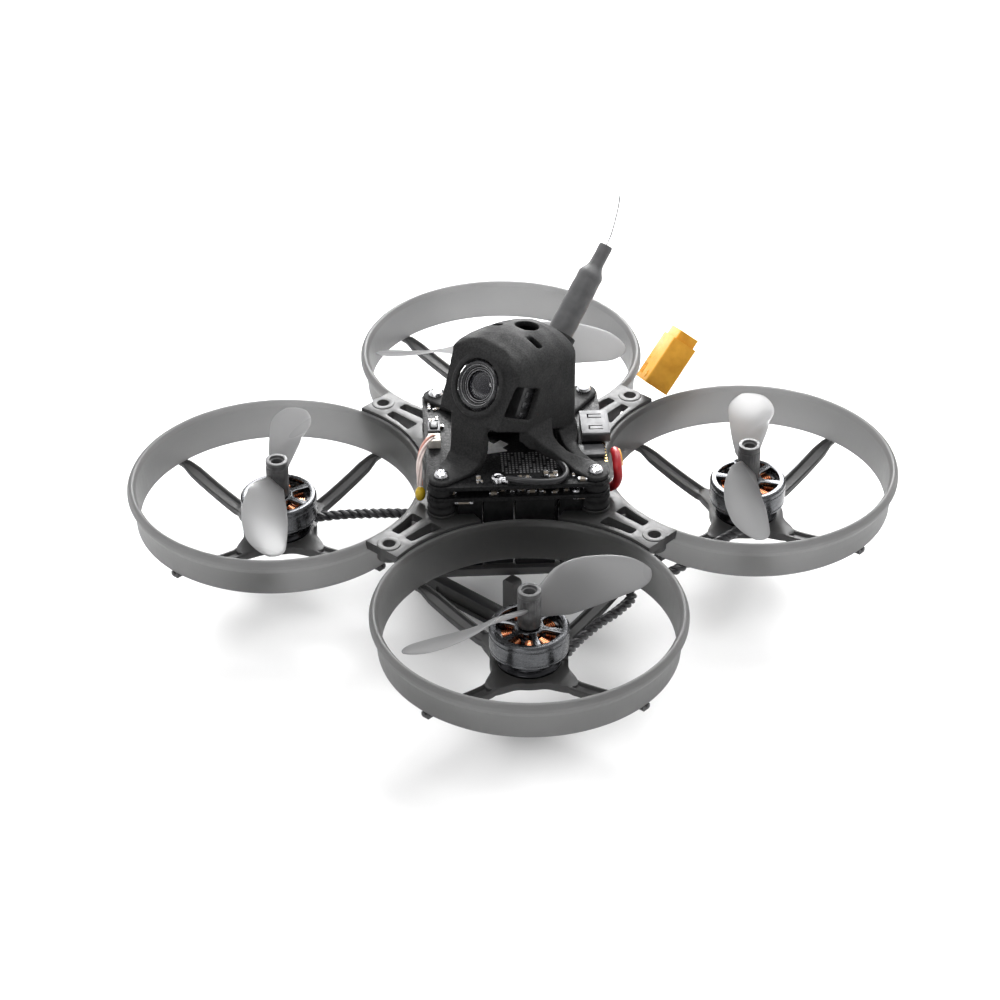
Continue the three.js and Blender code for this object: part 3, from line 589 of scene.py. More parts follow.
# ---------------------------------------------------------------- battery leads and plug
RED_ROUTE = [
    (17, 7.6, 31.6), (18.1, 6.7, 31.6), (19, 5.9, 31), (19.7, 5.3, 29.9), (19.9, 5.2, 28.6),
    (19.6, 5.1, 27.2), (18.8, 5, 26.1), (17.6, 4.8, 25.5), (16.5, 4.8, 25.4), (15.3, 5.5, 25.4),
    (14.2, 6.8, 25.3), (12.8, 8.2, 24.8), (10.9, 9.6, 23.9), (8.9, 11.3, 22.7), (7.3, 13.5, 21.2),
    (6.1, 16, 19.8), (4.8, 18.8, 18.9), (3.1, 24.8, 18.6), (1.8, 29, 18.4), (1.2, 32.4, 18.6),
    (1.3, 34.8, 19.9), (1.4, 36.1, 21.9),
]
BLACK_ROUTE = [
    (9.2, 6.4, 26.9), (8.4, 7.8, 26.3), (7.2, 9.3, 25.2), (5.8, 10.7, 23.9), (4, 12, 22.6),
    (1.8, 13.1, 21.4), (-0.4, 14.1, 20.3), (-2.2, 15.3, 19.5), (-3.6, 17, 18.9), (-4.2, 19, 18.6),
    (-3.8, 21.4, 18.5), (-2.9, 24, 18.4), (-2.1, 26.4, 18.3), (-1.4, 28.6, 18.2), (-1, 30.8, 18),
    (-0.9, 33, 17.9), (-1.2, 35.2, 18.1), (-1.5, 36.7, 18.8), (-1.7, 37.9, 19.9),
]
LEAD_RADIUS = 0.8


def battery_lead(name, route, look):
    line = smooth_route(route, 10)
    lead = piece(name + "_cord", tube(line, LEAD_RADIUS, 20), look, stands_for=(name,))
    return lead


def plug_place():
    axis = Vector((0.142, 0.665, 0.732)).normalized()
    across = Vector((0.72, -0.576, 0.384))
    across = (across - axis * across.dot(axis)).normalized()
    turn = Matrix((across, axis.cross(across), axis)).transposed().to_4x4()
    return Matrix.Translation((-0.1, 38.9, 23.9)) @ turn


def power_plug():
    half, thick = 4.9, 2.5
    body = [(-half + 1.2, -thick), (half, -thick), (half, thick), (-half + 1.2, thick),
            (-half, thick - 1.2), (-half, -thick + 1.2)]
    face = [(-half + 1.6, -thick + 0.5), (half - 0.6, -thick + 0.5), (half - 0.6, thick - 0.5),
            (-half + 1.6, thick - 0.5), (-half + 0.6, thick - 1.5), (-half + 0.6, -thick + 1.5)]
    shell = combined(plate(rounded(body, 0.35), 0, 9.9, edge=0.2), [plate(rounded(face, 0.3), 9, 11.7, edge=0.2)],
                     "UNION")
    sockets = [plate(circle(1.15, x, 0), 4, 13, edge=0) for x in (-2.5, 2.5)]
    grips = [block((x - 0.25, thick - 0.25, 1), (x + 0.25, thick + 1, 3.2), 0) for x in (-3, -2, -1)]
    grips += [block((x - 0.25, -thick - 1, 1), (x + 0.25, -thick + 0.25, 3.2), 0) for x in (-3, -2, -1)]
    return combined(shell, sockets + grips)


def plug_marks():
    """Moulded plus and minus signs beside the two contacts."""
    bars = []
    for side in (1, -1):
        low, high = sorted((side * 2.42, side * 2.62))
        bars.append(block((1.7, low, 1.2), (3.1, high, 1.6), 0.04))
        bars.append(block((2.2, low, 0.7), (2.6, high, 2.1), 0.04))
        bars.append(block((-3.1, low, 4.2), (-1.7, high, 4.6), 0.04))
    return merged(bars)


def plug_contact(x):
    tube_wall = turned([(0.72, 4.2), (1.12, 4.2), (1.12, 10.6), (0.95, 10.9), (0.72, 10.9)], 0.08, 32)
    return moved(tube_wall, Matrix.Translation((x, 0, 0)))


shell = piece("plug_shell", power_plug(), PLUG, plug_place(), stands_for=("power_plug",))
piece("plug_signs", plug_marks(), PLUG, plug_place())
plus = piece("plug_contact_plus", plug_contact(2.5), GOLD, plug_place())
minus = piece("plug_contact_minus", plug_contact(-2.5), GOLD, plug_place())
battery_lead("power_lead_red", RED_ROUTE, WIRE_RED)
battery_lead("power_lead_black", BLACK_ROUTE, WIRE_BLACK)


# ---------------------------------------------------------------- airframe
def duct_ring():
    wall = [
        (RING_RADIUS - 2.05, RING_FOOT), (RING_RADIUS - 1.3, RING_FOOT),
        (RING_RADIUS - 1.05, RING_TOP - 4.5), (RING_RADIUS - 0.75, RING_TOP - 2.7),
        (RING_RADIUS, RING_TOP - 1.5), (RING_RADIUS, RING_TOP - 0.9), (RING_RADIUS - 0.4, RING_TOP),
        (RING_RADIUS - 1.05, RING_TOP), (RING_RADIUS - 1.6, RING_TOP - 0.8), (RING_RADIUS - 1.8, RING_TOP - 3),
    ]
    profile = [(point.x, point.y) for point in rounded(wall, 0.45, 3)]
    return revolved(profile, 160)


def spoke_levels(radius):
    """Bottom and top of a spoke at a distance from the motor."""
    share = min(max((radius - 10.8) / 13.4, 0), 1)
    rise = 0.7 * share + 0.3 * share * share
    top = DECK_TOP + (RING_FOOT + 0.15 - DECK_TOP) * rise
    bottom = DECK_BOTTOM + (RING_FOOT - 0.9 - DECK_BOTTOM) * rise
    return bottom, top


def spoke():
    """A channel-shaped arm that rises to the duct and ends in a small foot."""
    width = 1.4
    rings = []
    for radius in (4.4, 8, 10.8, 12.5, 14.5, 17, 19.5, 22, 24.2, 25.0, 25.7):
        bottom, top = spoke_levels(radius)
        groove = 0.55 if radius > 9 else 0.0
        half = width - 0.5 * min(max((radius - 22) / 3, 0), 1)
        section = [(-half + 0.25, bottom), (half - 0.25, bottom), (half, bottom + 0.25), (half, top - 0.2),
                   (half - 0.2, top), (half - 0.5, top), (half - 0.75, top - groove),
                   (-half + 0.75, top - groove), (-half + 0.5, top), (-half + 0.2, top), (-half, top - 0.2),
                   (-half, bottom + 0.25)]
        rings.append([(radius, y, z) for y, z in section])
    return loft(rings)


def motor_mount():
    outline = []
    for i in range(144):
        turn = 2 * math.pi * i / 144
        off_spoke = (turn + math.pi / 4) % (math.pi / 2) - math.pi / 4
        radius = 6.7 + 4.0 * math.exp(-((off_spoke / 0.27) ** 2))
        outline.append((radius * math.cos(turn), radius * math.sin(turn)))
    screw_holes = [circle(0.75, 4.6 * math.cos(turn), 4.6 * math.sin(turn), 16)
                   for turn in (math.radians(45 + 90 * i) for i in range(4))]
    body = plate(outline, DECK_BOTTOM, DECK_TOP, [circle(2.2), *screw_holes], 0.22)
    spokes = [moved(spoke(), Matrix.Rotation(math.radians(90 * i), 4, "Z")) for i in range(4)]
    hole = plate(circle(4.0), DECK_BOTTOM - 1, DECK_TOP + 1, edge=0)
    spokes = [combined(arm, [moved(hole.copy(), Matrix())]) for arm in spokes]
    hole.free()
    return combined(body, spokes, "UNION")


def motor_screws():
    """Four small screws that come up through the mount into the motor base."""
    heads = []
    for i in range(4):
        turn = math.radians(45 + 90 * i)
        place = Matrix.Translation((4.6 * math.cos(turn), 4.6 * math.sin(turn), 0))
        head = turned([(0, DECK_BOTTOM - 0.7), (0.9, DECK_BOTTOM - 0.6), (1.15, DECK_BOTTOM - 0.3),
                       (1.15, DECK_BOTTOM), (0.62, DECK_BOTTOM), (0.62, DECK_TOP + 0.6), (0, DECK_TOP + 0.6)],
                      0.1, 24)
        drive = plate(circle(0.45, steps=6), DECK_BOTTOM - 1, DECK_BOTTOM - 0.3, edge=0)
        heads.append(moved(combined(head, [drive]), place))
    return merged(heads)


def between_ducts(distance, overlap=0.3):
    across = distance - MOTOR_OFFSET
    return MOTOR_OFFSET - math.sqrt((RING_RADIUS - overlap) ** 2 - across ** 2)


def junction_web():
    """Bridge between two ducts: drilled tab, two slots beside a centre rib, and the stack column."""
    distances = [WEB_OUTER - step * (WEB_OUTER - 16.6) / 14 for step in range(15)]
    right = [(between_ducts(distance), distance) for distance in distances] + [(2.4, 15.3)]
    outline = right + [(-x, y) for x, y in reversed(right)]
    slot = rounded([(0.75, 29.4), (2.5, 29.4), (2.9, 26), (3.6, 22.9), (0.95, 22.9)], 0.4)
    other_slot = [(-point[0], point[1]) for point in slot]
    hole = circle(1.1, 0, 32.6)
    top = plate(outline, WEB_TOP - 1.6, WEB_TOP, [hole, slot, other_slot], 0.18)
    boss = moved(turned([(1.1, WEB_TOP - 2.6), (2.1, WEB_TOP - 2.6), (2.1, WEB_TOP + 0.12), (1.1, WEB_TOP + 0.12)],
                        0.1, 40), Matrix.Translation((0, 32.6, 0)))
    column = moved(turned([(0.9, DECK_TOP - 0.3), (3.0, DECK_TOP - 0.3), (2.6, DECK_TOP + 1.2),
                           (2.6, COLUMN_TOP), (0.9, COLUMN_TOP)], 0.2, 48),
                   Matrix.Translation((0, SCREW_DISTANCE, 0)))
    rib_side = [(SCREW_DISTANCE + 1, DECK_TOP - 0.3), (SCREW_DISTANCE + 3.4, DECK_TOP - 0.3),
                (29.3, WEB_TOP - 3.2), (29.3, WEB_TOP - 0.2), (SCREW_DISTANCE + 1, WEB_TOP - 0.2)]
    rib = plate(rib_side, -0.6, 0.6, edge=0.15)
    stand = Matrix(((0, 0, 1, 0), (1, 0, 0, 0), (0, 1, 0, 0), (0, 0, 0, 1)))
    skirts = []
    for side in (1, -1):
        outer = [(side * between_ducts(distance, 0.2), distance) for distance in (29.4, 27, 25, 23)]
        inner = [(x - side * 0.65, y) for x, y in reversed(outer)]
        skirts.append(plate(outer + inner, WEB_TOP - 3.4, WEB_TOP - 0.4, edge=0.1))
    return combined(top, [boss, column, moved(rib, stand), *skirts], "UNION")


def diamond(reach, half_width, corner_radius):
    """A square turned by 45 degrees with blunt, rounded corners."""
    blunt = half_width * math.sqrt(2) - reach
    points = []
    for turn in range(4):
        spin = Matrix.Rotation(turn * math.pi / 2, 2)
        points += [spin @ Vector((reach, -blunt)), spin @ Vector((reach, blunt))]
    return rounded(points, corner_radius)


def center_plate():
    outline = diamond(DECK_REACH + 0.3, 15.4, 0.8)
    holes = [circle(4.5, steps=40)]
    holes += [circle(2.4, 10.2 * math.cos(turn), 10.2 * math.sin(turn), 24)
              for turn in (math.radians(45 + 90 * i) for i in range(4))]
    top = plate(outline, DECK_BOTTOM, DECK_TOP, holes, 0.2)
    rim = plate(circle(5.4, steps=40), DECK_TOP - 0.2, DECK_TOP + 0.45, [circle(4.5, steps=40)], 0.12)
    return combined(top, [rim], "UNION")


def battery_hoop(node):
    low, high = span(node)
    half, floor, top = 9.8, 3.7, DECK_BOTTOM + 0.3
    outline = [(low.x, top), (low.x, 1.2), (low.x + 1.2, 0), (high.x - 1.2, 0), (high.x, 1.2), (high.x, top),
               (half, top), (half, floor + 0.8), (half - 0.8, floor), (-half + 0.8, floor),
               (-half, floor + 0.8), (-half, top)]
    window = rounded([(-6.6, 0.9), (6.6, 0.9), (6.6, 2.7), (-6.6, 2.7)], 0.6)
    bar = plate(rounded(outline, 0.6), low.y, high.y, edge=0.2)
    pocket = plate(window, low.y - 1, low.y + 0.5, edge=0)
    rear_pocket = plate(window, high.y - 0.5, high.y + 1, edge=0)
    stand = Matrix(((1, 0, 0, 0), (0, 0, 1, 0), (0, 1, 0, 0), (0, 0, 0, 1)))
    return moved(combined(bar, [pocket, rear_pocket]), stand)


def copies(template, name, look, matrices, body=None, stands_for="{}"):
    """The same shape at several places; each name and body is a pattern that takes the place's name."""
    for place, matrix in matrices.items():
        rides_on = body.format(place) if body else AIRFRAME
        replaced = (stands_for.format(place),) if stands_for else ()
        piece(name.format(place), template.copy(), look, matrix, rides_on, replaced)
    template.free()


MOTOR_PLACES = {place: motor_place(place) for place in PLACES}
CORNER_PLACES = {corner: corner_place(corner) for corner in CORNERS}

copies(duct_ring(), "duct_wall_{}", THIN_SMOKY, MOTOR_PLACES, stands_for="duct_{}")
copies(motor_mount(), "mount_arms_{}", THICK_SMOKY, MOTOR_PLACES, stands_for="motor_mount_{}")
copies(motor_screws(), "mount_screws_{}", STEEL, MOTOR_PLACES, stands_for=None)
copies(junction_web(), "web_{}", THICK_SMOKY, CORNER_PLACES, stands_for="junction_web_{}")
piece("deck", center_plate(), THICK_SMOKY, stands_for=("center_plate",))
for end in ("front", "rear"):
    node_name = f"battery_hoop_{end}"
    piece(f"hoop_{end}", battery_hoop(node_name), THICK_SMOKY, stands_for=(node_name,))


# ---------------------------------------------------------------- motors
def motor_base():
    profile = [(1.05, DECK_TOP), (5.6, DECK_TOP), (5.6, DECK_TOP + 0.5), (4.9, DECK_TOP + 1.1),
               (4.9, BELL_BOTTOM - 0.5), (2.2, BELL_BOTTOM - 0.2), (2.2, BELL_TOP - 1.3), (1.05, BELL_TOP - 1.3)]
    body = turned(profile, 0.18, 64)
    notches = []
    for i in range(4):
        notch = block((3.6, -0.9, DECK_TOP + 1.2), (6, 0.9, BELL_BOTTOM - 1.2), 0.2)
        notches.append(moved(notch, Matrix.Rotation(math.radians(90 * i), 4, "Z")))
    return combined(body, notches)


def stator_core():
    teeth = []
    for i in range(9):
        arm = block((2.4, -0.5, BELL_BOTTOM + 0.5), (5.0, 0.5, BELL_TOP - 1.3), 0.08)
        tip = plate([(r * math.cos(a), r * math.sin(a)) for r, a in
                     ((4.9, -0.27), (5.5, -0.28), (5.56, -0.14), (5.58, 0), (5.56, 0.14), (5.5, 0.28), (4.9, 0.27))],
                    BELL_BOTTOM + 0.3, BELL_TOP - 1.1, edge=0.06)
        spin = Matrix.Rotation(math.radians(40 * i + 14), 4, "Z")
        teeth.append(moved(merged([arm, tip]), spin))
    hub = turned([(2.25, BELL_BOTTOM + 0.4), (2.9, BELL_BOTTOM + 0.4), (2.9, BELL_TOP - 1.5), (2.25, BELL_TOP - 1.5)],
                 0.08, 48)
    return merged([*teeth, hub])


def stator_coils():
    """Five turns of round wire about each tooth."""
    middle = (BELL_BOTTOM + BELL_TOP) / 2 - 0.4
    half = (BELL_TOP - BELL_BOTTOM) / 2 - 0.8
    loops = []
    for tooth in range(9):
        spin = Matrix.Rotation(math.radians(40 * tooth + 14), 4, "Z")
        for i in range(5):
            reach = 3.05 + 0.38 * i
            wide = 0.62 + 0.05 * i
            loop = rounded([(wide, half), (-wide, half), (-wide, -half), (wide, -half)], 0.4, 3)
            centre = [Vector((reach, point[0], middle + point[1])) for point in loop]
            rings = []
            for j, point in enumerate(centre):
                outward = (point - Vector((reach, 0, middle))).normalized()
                ring = [point + (outward * math.cos(t) + Vector((1, 0, 0)) * math.sin(t)) * 0.2
                        for t in (2 * math.pi * k / 8 for k in range(8))]
                rings.append(ring)
            rings.append(rings[0])
            loops.append(moved(loft(rings, caps=False), spin))
    return merged(loops)


def magnets():
    bars = []
    for i in range(12):
        start, end = math.radians(30 * i + 2), math.radians(30 * i + 28)
        turns = [start + (end - start) * k / 4 for k in range(5)]
        outline = [(6.03 * math.cos(t), 6.03 * math.sin(t)) for t in turns]
        outline += [(5.72 * math.cos(t), 5.72 * math.sin(t)) for t in reversed(turns)]
        bars.append(plate(outline, BELL_BOTTOM + 0.2, BELL_TOP - 1.0, edge=0.05))
    return merged(bars)


def bell_can():
    inner = BELL_RADIUS - 0.8
    can = turned([
        (inner, BELL_BOTTOM), (BELL_RADIUS - 0.05, BELL_BOTTOM), (BELL_RADIUS - 0.05, BELL_BOTTOM + 0.35),
        (BELL_RADIUS - 0.16, BELL_BOTTOM + 0.42), (BELL_RADIUS - 0.16, BELL_BOTTOM + 0.56),
        (BELL_RADIUS, BELL_BOTTOM + 0.64), (BELL_RADIUS, BELL_TOP - 1.2), (BELL_RADIUS - 0.12, BELL_TOP - 1.12),
        (BELL_RADIUS - 0.12, BELL_TOP - 0.98), (BELL_RADIUS, BELL_TOP - 0.9), (BELL_RADIUS, BELL_TOP - 0.35),
        (BELL_RADIUS - 0.35, BELL_TOP), (inner - 0.35, BELL_TOP), (inner - 0.35, BELL_TOP - 0.5),
        (inner, BELL_TOP - 0.9),
    ], 0.1, 96)
    arms = []
    for i in range(6):
        outline = [(1.6, -1.0), (3.2, -0.52), (inner + 0.3, -0.75), (inner + 0.3, 0.75), (3.2, 0.52), (1.6, 1.0)]
        arm = plate(outline, BELL_TOP - 0.85, BELL_TOP - 0.02, edge=0.18)
        arms.append(moved(arm, Matrix.Rotation(math.radians(60 * i + 8), 4, "Z")))
    hub = turned([(0.75, BELL_TOP - 1.2), (2.4, BELL_TOP - 1.2), (2.6, BELL_TOP - 0.9), (2.6, BELL_TOP - 0.2),
                  (2.4, BELL_TOP), (0.75, BELL_TOP)], 0.12, 48)
    return combined(can, [*arms, hub], "UNION")


def shaft():
    return turned([(0, DECK_TOP + 0.3), (0.75, DECK_TOP + 0.4), (0.75, HUB_TOP - 2.2), (0.6, HUB_TOP - 2.0),
                   (0, HUB_TOP - 2.0)], 0.06, 32)


def bearing():
    """Ball bearing's visible outer ring in the top of the base tube."""
    return turned([(0.82, BELL_TOP - 1.32), (2.0, BELL_TOP - 1.32), (2.0, BELL_TOP - 1.24), (0.82, BELL_TOP - 1.24)],
                  0.03, 32)


ROTOR = "rotor_{}"
MOTOR_TURNS = {"front_left": 18, "front_right": 64, "rear_left": 140, "rear_right": 5}
SPUN_PLACES = {place: motor_place(place, MOTOR_TURNS[place]) for place in PLACES}
copies(motor_base(), "motor_foot_{}", BASE_BLACK, MOTOR_PLACES, stands_for="motor_base_{}")
copies(stator_core(), "stator_core_{}", CORE, SPUN_PLACES, stands_for="motor_stator_{}")
copies(stator_coils(), "stator_coils_{}", COPPER, SPUN_PLACES, stands_for=None)
copies(bearing(), "bearing_{}", STEEL, MOTOR_PLACES, stands_for=None)
copies(bell_can(), "bell_{}", BELL, SPUN_PLACES, ROTOR, "motor_bell_{}")
copies(magnets(), "magnets_{}", MAGNET, SPUN_PLACES, ROTOR, None)
copies(shaft(), "shaft_{}", STEEL, SPUN_PLACES, ROTOR, None)


# ---------------------------------------------------------------- propellers
BLADE_PITCH = 50


def blade_chord(share):
    body = 5.0 + 16.0 * share - 15.5 * share * share
    tip = math.sqrt(max(0.02, 1 - (max(share - 0.83, 0) / 0.17) ** 2.4))
    root = 0.6 + 0.4 * min(share / 0.28, 1)
    return body * tip * root


def blade(turn):
    """One twisted blade along X; its leading edge bulges forward and its tip is rounded."""
    rings = []
    count = 30
    for i in range(count + 1):
        share = 0.04 + 0.96 * math.sin(math.pi / 2 * i / count) ** 1.15
        radius = share * PROPELLER_RADIUS
        chord = blade_chord(share)
        forward = 1.9 * math.sin(0.93 * math.pi * share) ** 0.8
        twist = min(math.atan(BLADE_PITCH / (2 * math.pi * max(radius, 5))), 0.78)
        thick = 1.1 - 0.75 * share
        ring = []
        for k in range(26):
            around = 2 * math.pi * k / 26
            along = 0.5 * math.cos(around)
            nose = 0.55 + 0.45 * math.cos(around)
            up = thick * 0.5 * math.sin(around) * (0.45 + 0.55 * nose) + 0.05 * chord * (0.25 - along * along)
            reach = along * chord + forward
            y = reach * math.cos(twist) - up * math.sin(twist)
            z = reach * math.sin(twist) + up * math.cos(twist)
            ring.append((radius, turn * y, BLADE_HEIGHT + z - 0.35))
        rings.append(ring)
    return loft(rings)


def blades(turn):
    pair = [blade(turn), moved(blade(turn), Matrix.Rotation(math.pi, 4, "Z"))]
    inner = plate(circle(1.5), HUB_BOTTOM - 1, HUB_TOP + 1, edge=0)
    return merged([combined(pair[0], [inner.copy()]), combined(pair[1], [inner])])


def hub():
    """Grained collar with a stepped rim and a small bore that the shaft shows through."""
    bm = turned([(1.05, HUB_BOTTOM), (1.85, HUB_BOTTOM), (2.0, HUB_BOTTOM + 0.4), (2.0, HUB_TOP - 1.5),
                 (1.9, HUB_TOP - 1.35), (1.9, HUB_TOP - 1.1), (2.0, HUB_TOP - 0.95), (2.0, HUB_TOP - 0.1),
                 (1.35, HUB_TOP - 0.05), (1.25, HUB_TOP - 0.5), (1.05, HUB_TOP - 0.6)], 0.1, 96)
    for vertex in bm.verts:
        flat = Vector((vertex.co.x, vertex.co.y))
        if flat.length > 1.8 and HUB_BOTTOM + 0.8 < vertex.co.z < HUB_TOP - 1.4:
            ridge = 1 + 0.02 * math.cos(24 * math.atan2(flat.y, flat.x))
            vertex.co.x *= ridge
            vertex.co.y *= ridge
    return bm


for place in PLACES:
    spot = motor_place(place, BLADE_ANGLES[place])
    rotor = ROTOR.format(place)
    piece(f"blades_{place}", blades(BLADE_HANDS[place]), BLADE, spot, rotor,
          (f"propeller_{place}",))
    piece(f"propeller_hub_{place}", hub(), HUB, spot, rotor)


# ---------------------------------------------------------------- boards
def board(low, high, hole_radius):
    outline = diamond(BOARD_REACH, 16, 0.9)
    spots = [corner_place(corner) @ Vector((0, SCREW_DISTANCE, 0)) for corner in CORNERS]
    holes = [circle(hole_radius, spot.x, spot.y, 24) for spot in spots]
    return plate(outline, low, high, holes, 0.06)


def pad_rings():
    rings = [moved(turned([(0.9, TRANSMITTER_TOP - 0.02), (1.75, TRANSMITTER_TOP - 0.02),
                           (1.75, TRANSMITTER_TOP + 0.03), (0.9, TRANSMITTER_TOP + 0.03)], 0.01, 32),
                   corner_place(corner) @ Matrix.Translation((0, SCREW_DISTANCE, 0))) for corner in CORNERS]
    return merged(rings)


def damper():
    neck_top = CONTROLLER_TOP
    return turned([(0.9, COLUMN_TOP), (2.5, COLUMN_TOP), (2.6, COLUMN_TOP + 0.6), (2.2, COLUMN_TOP + 1.3),
                   (2.6, COLUMN_TOP + 2.1), (2.5, CONTROLLER_BOTTOM), (1.4, CONTROLLER_BOTTOM), (1.4, neck_top),
                   (2.3, neck_top), (2.3, TRANSMITTER_BOTTOM), (0.9, TRANSMITTER_BOTTOM)], 0.25, 48)


def canopy_screw():
    """Pan head with a cross of two slots, on a plain shank."""
    seat = SCREW_HIGH.z - 1.1
    head = turned([(0, SCREW_LOW.z), (0.6, SCREW_LOW.z), (0.6, seat), (1.3, seat), (1.3, seat + 0.45),
                   (1.05, seat + 0.9), (0.5, seat + 1.1), (0, seat + 1.1)], 0.12, 48)
    slots = [moved(block((-0.85, -0.16, seat + 0.6), (0.85, 0.16, seat + 2), 0),
                   Matrix.Rotation(math.radians(turn), 4, "Z")) for turn in (20, 110)]
    return combined(head, slots)


SCREW_PLACES = {corner: corner_place(corner) @ Matrix.Translation((0, SCREW_DISTANCE, 0)) for corner in CORNERS}

piece("controller_board", board(CONTROLLER_BOTTOM, CONTROLLER_TOP, 1.7), LOWER_MASK,
      stands_for=("flight_controller",))
piece("transmitter_board", board(TRANSMITTER_BOTTOM, TRANSMITTER_TOP, 0.9), TOP_MASK,
      stands_for=("video_transmitter",))
piece("pad_rings", pad_rings(), GOLD)
copies(damper(), "grommet_{}", RUBBER, SCREW_PLACES, stands_for="damper_{}")
copies(canopy_screw(), "screw_{}", STEEL, SCREW_PLACES, stands_for="canopy_screw_{}")


def on_board(along, across, low=TRANSMITTER_TOP):
    """A place on a board, in the directions of its edges: along points to the rear left."""
    return DIAGONAL @ Matrix.Translation((along, across, low))


def chip(length, width, height, edge=0.08):
    return block((-length / 2, -width / 2, -0.02), (length / 2, width / 2, height), edge)


def pad_field():
    """Field of small square pads between the canopy and the front left edge."""
    pads = []
    for row in range(16):
        for column in range(11):
            if (row * 7 + column * 5) % 11 == 0:
                continue
            place = on_board(-2.6 + row * 0.62, -11.8 + column * 0.62)
            pads.append(moved(chip(0.34, 0.34, 0.05, 0), place))
    return merged(pads)


def castellations():
    turned_over = Matrix.Rotation(math.pi / 2, 4, "Z")
    return merged([moved(block((-0.25, -0.05, -0.82), (0.25, 0.5, 0.04), 0.03),
                         on_board(15.97, -9 + 0.95 * i) @ turned_over) for i in range(8)])


def scattered(seed, count, level, spread, kinds):
    """Small two-ended parts in free rows on a board."""
    draw = random.Random(seed)
    bodies, ends = [], []
    for _ in range(count):
        along, across = draw.uniform(*spread[0]), draw.uniform(*spread[1])
        length, width, height = draw.choice(kinds)
        turn = Matrix.Rotation(math.radians(90 * draw.randrange(2)), 4, "Z")
        place = on_board(along, across, level) @ turn
        bodies.append(moved(chip(length * 0.62, width * 0.96, height, 0.03), place))
        for side in (-1, 1):
            end = moved(chip(length * 0.2, width, height + 0.02, 0.03),
                        Matrix.Translation((side * length * 0.4, 0, 0)))
            ends.append(moved(end, place))
    return merged(bodies), merged(ends)


def orientation_arrow():
    """Plain arrow head printed on the board, pointing to the nose."""
    outline = [(0, -8.0), (2.4, -4.3), (1.0, -4.3), (1.0, -2.6), (-1.0, -2.6), (-1.0, -4.3), (-2.4, -4.3)]
    return plate(rounded(outline, 0.15), TRANSMITTER_TOP - 0.01, TRANSMITTER_TOP + 0.04, edge=0)


SMALL_PARTS = ((1.0, 0.5, 0.35), (1.6, 0.8, 0.5), (0.7, 0.4, 0.3))
LARGE_PARTS = ((2.0, 1.2, 0.7), (1.6, 0.8, 0.6), (3.2, 1.6, 0.9), (1.0, 0.5, 0.4))


def fit_out_boards():
    piece("pad_field", pad_field(), PAD)
    piece("castellations", castellations(), GOLD)
    piece("orientation_arrow", orientation_arrow(), PRINT_WHITE)
    piece("shield_chip", moved(chip(4.6, 3.4, 0.75, 0.15), on_board(13.4, -6.2)), CHIP)
    squares = [moved(chip(5, 5, 0.8, 0.12), on_board(-3, 3)), moved(chip(3, 3, 0.7, 0.1), on_board(-9, -3)),
               moved(chip(4, 4, 0.9, 0.12), on_board(-8.5, 8)), moved(chip(6, 6, 0.8, 0.12), on_board(2, 8.5))]
    piece("top_chips", merged(squares), DARK_CHIP_AND_SHADE)
    under = [moved(chip(7, 7, 0.9, 0.12), on_board(0, 0, CONTROLLER_BOTTOM - 0.88)),
             moved(chip(3.2, 3.2, 0.8, 0.1), on_board(-10, 6, CONTROLLER_BOTTOM - 0.78)),
             moved(chip(3.2, 3.2, 0.8, 0.1), on_board(6, -11, CONTROLLER_BOTTOM - 0.78)),
             moved(chip(3.2, 3.2, 0.8, 0.1), on_board(-6, -11, CONTROLLER_BOTTOM - 0.78))]
    # Besides the chips above, tall near-black blocks fill the space under the lower board down to the deck: painted
    # shade for the dark gap under the stack.
    shade_fill_depth = CONTROLLER_BOTTOM - DECK_TOP - 0.25
    under += [moved(chip(length, width, height, 0.15), on_board(along, across, CONTROLLER_BOTTOM - height + 0.02))
              for along, across, length, width, height in (
                  (-8.6, -12.4, 4.4, 4.4, shade_fill_depth), (-3.6, -12.7, 5.2, 3.8, shade_fill_depth - 0.3), (9.2, -12.6, 4.0, 4.0, shade_fill_depth - 0.2),
                  (2.9, -12.4, 7.0, 4.4, shade_fill_depth), (-12.4, -5.2, 4.4, 6.4, shade_fill_depth), (-12.6, 2.4, 4.0, 7.2, shade_fill_depth - 0.3),
                  (-11.6, 9.6, 4.6, 5.2, 2.8), (0, -5.5, 12, 6, 3.2))]
    piece("under_chips_and_shade_fill", merged(under), DARK_CHIP_AND_SHADE)
    # Long near-black blocks between the two boards along their edges, closing the gaps between the dampers: painted
    # shade.
    between = [moved(chip(length, width, 1.4, 0.1), on_board(along, across, CONTROLLER_TOP))
               for along, across, length, width in ((-7.5, -12.9, 9, 2.6), (4.5, -12.9, 11, 2.6),
                                                    (-12.9, -6, 2.6, 8), (-12.9, 5.5, 2.6, 10))]
    piece("between_boards_shade_fill", merged(between), DARK_CHIP_AND_SHADE)
    areas = {
        "front_left_top": (3, 16, TRANSMITTER_TOP, ((-13, 12), (-15.2, -12.6)), SMALL_PARTS),
        "front_right_top": (5, 12, TRANSMITTER_TOP, ((-15.2, -13), (2.6, 12)), SMALL_PARTS),
        "rear_top": (8, 16, TRANSMITTER_TOP, ((2, 10), (11, 15)), SMALL_PARTS),
        "between_left": (11, 22, CONTROLLER_TOP, ((-12, 12), (-15.3, -13.2)), SMALL_PARTS),
        "between_right": (14, 18, CONTROLLER_TOP, ((-15.3, -13.2), (-12, 12)), SMALL_PARTS),
        "under_left": (17, 14, CONTROLLER_BOTTOM - 0.6, ((-11, 11), (-15, -13)), LARGE_PARTS),
        "under_rear": (21, 14, CONTROLLER_BOTTOM - 0.6, ((8, 14), (-9, 11)), LARGE_PARTS),
    }
    for name, (seed, count, level, spread, kinds) in areas.items():
        bodies, ends = scattered(seed, count, level, spread, kinds)
        piece(f"parts_{name}", bodies, CERAMIC if seed % 2 else DARK_CHIP_AND_SHADE)
        piece(f"part_ends_{name}", ends, SOLDER)


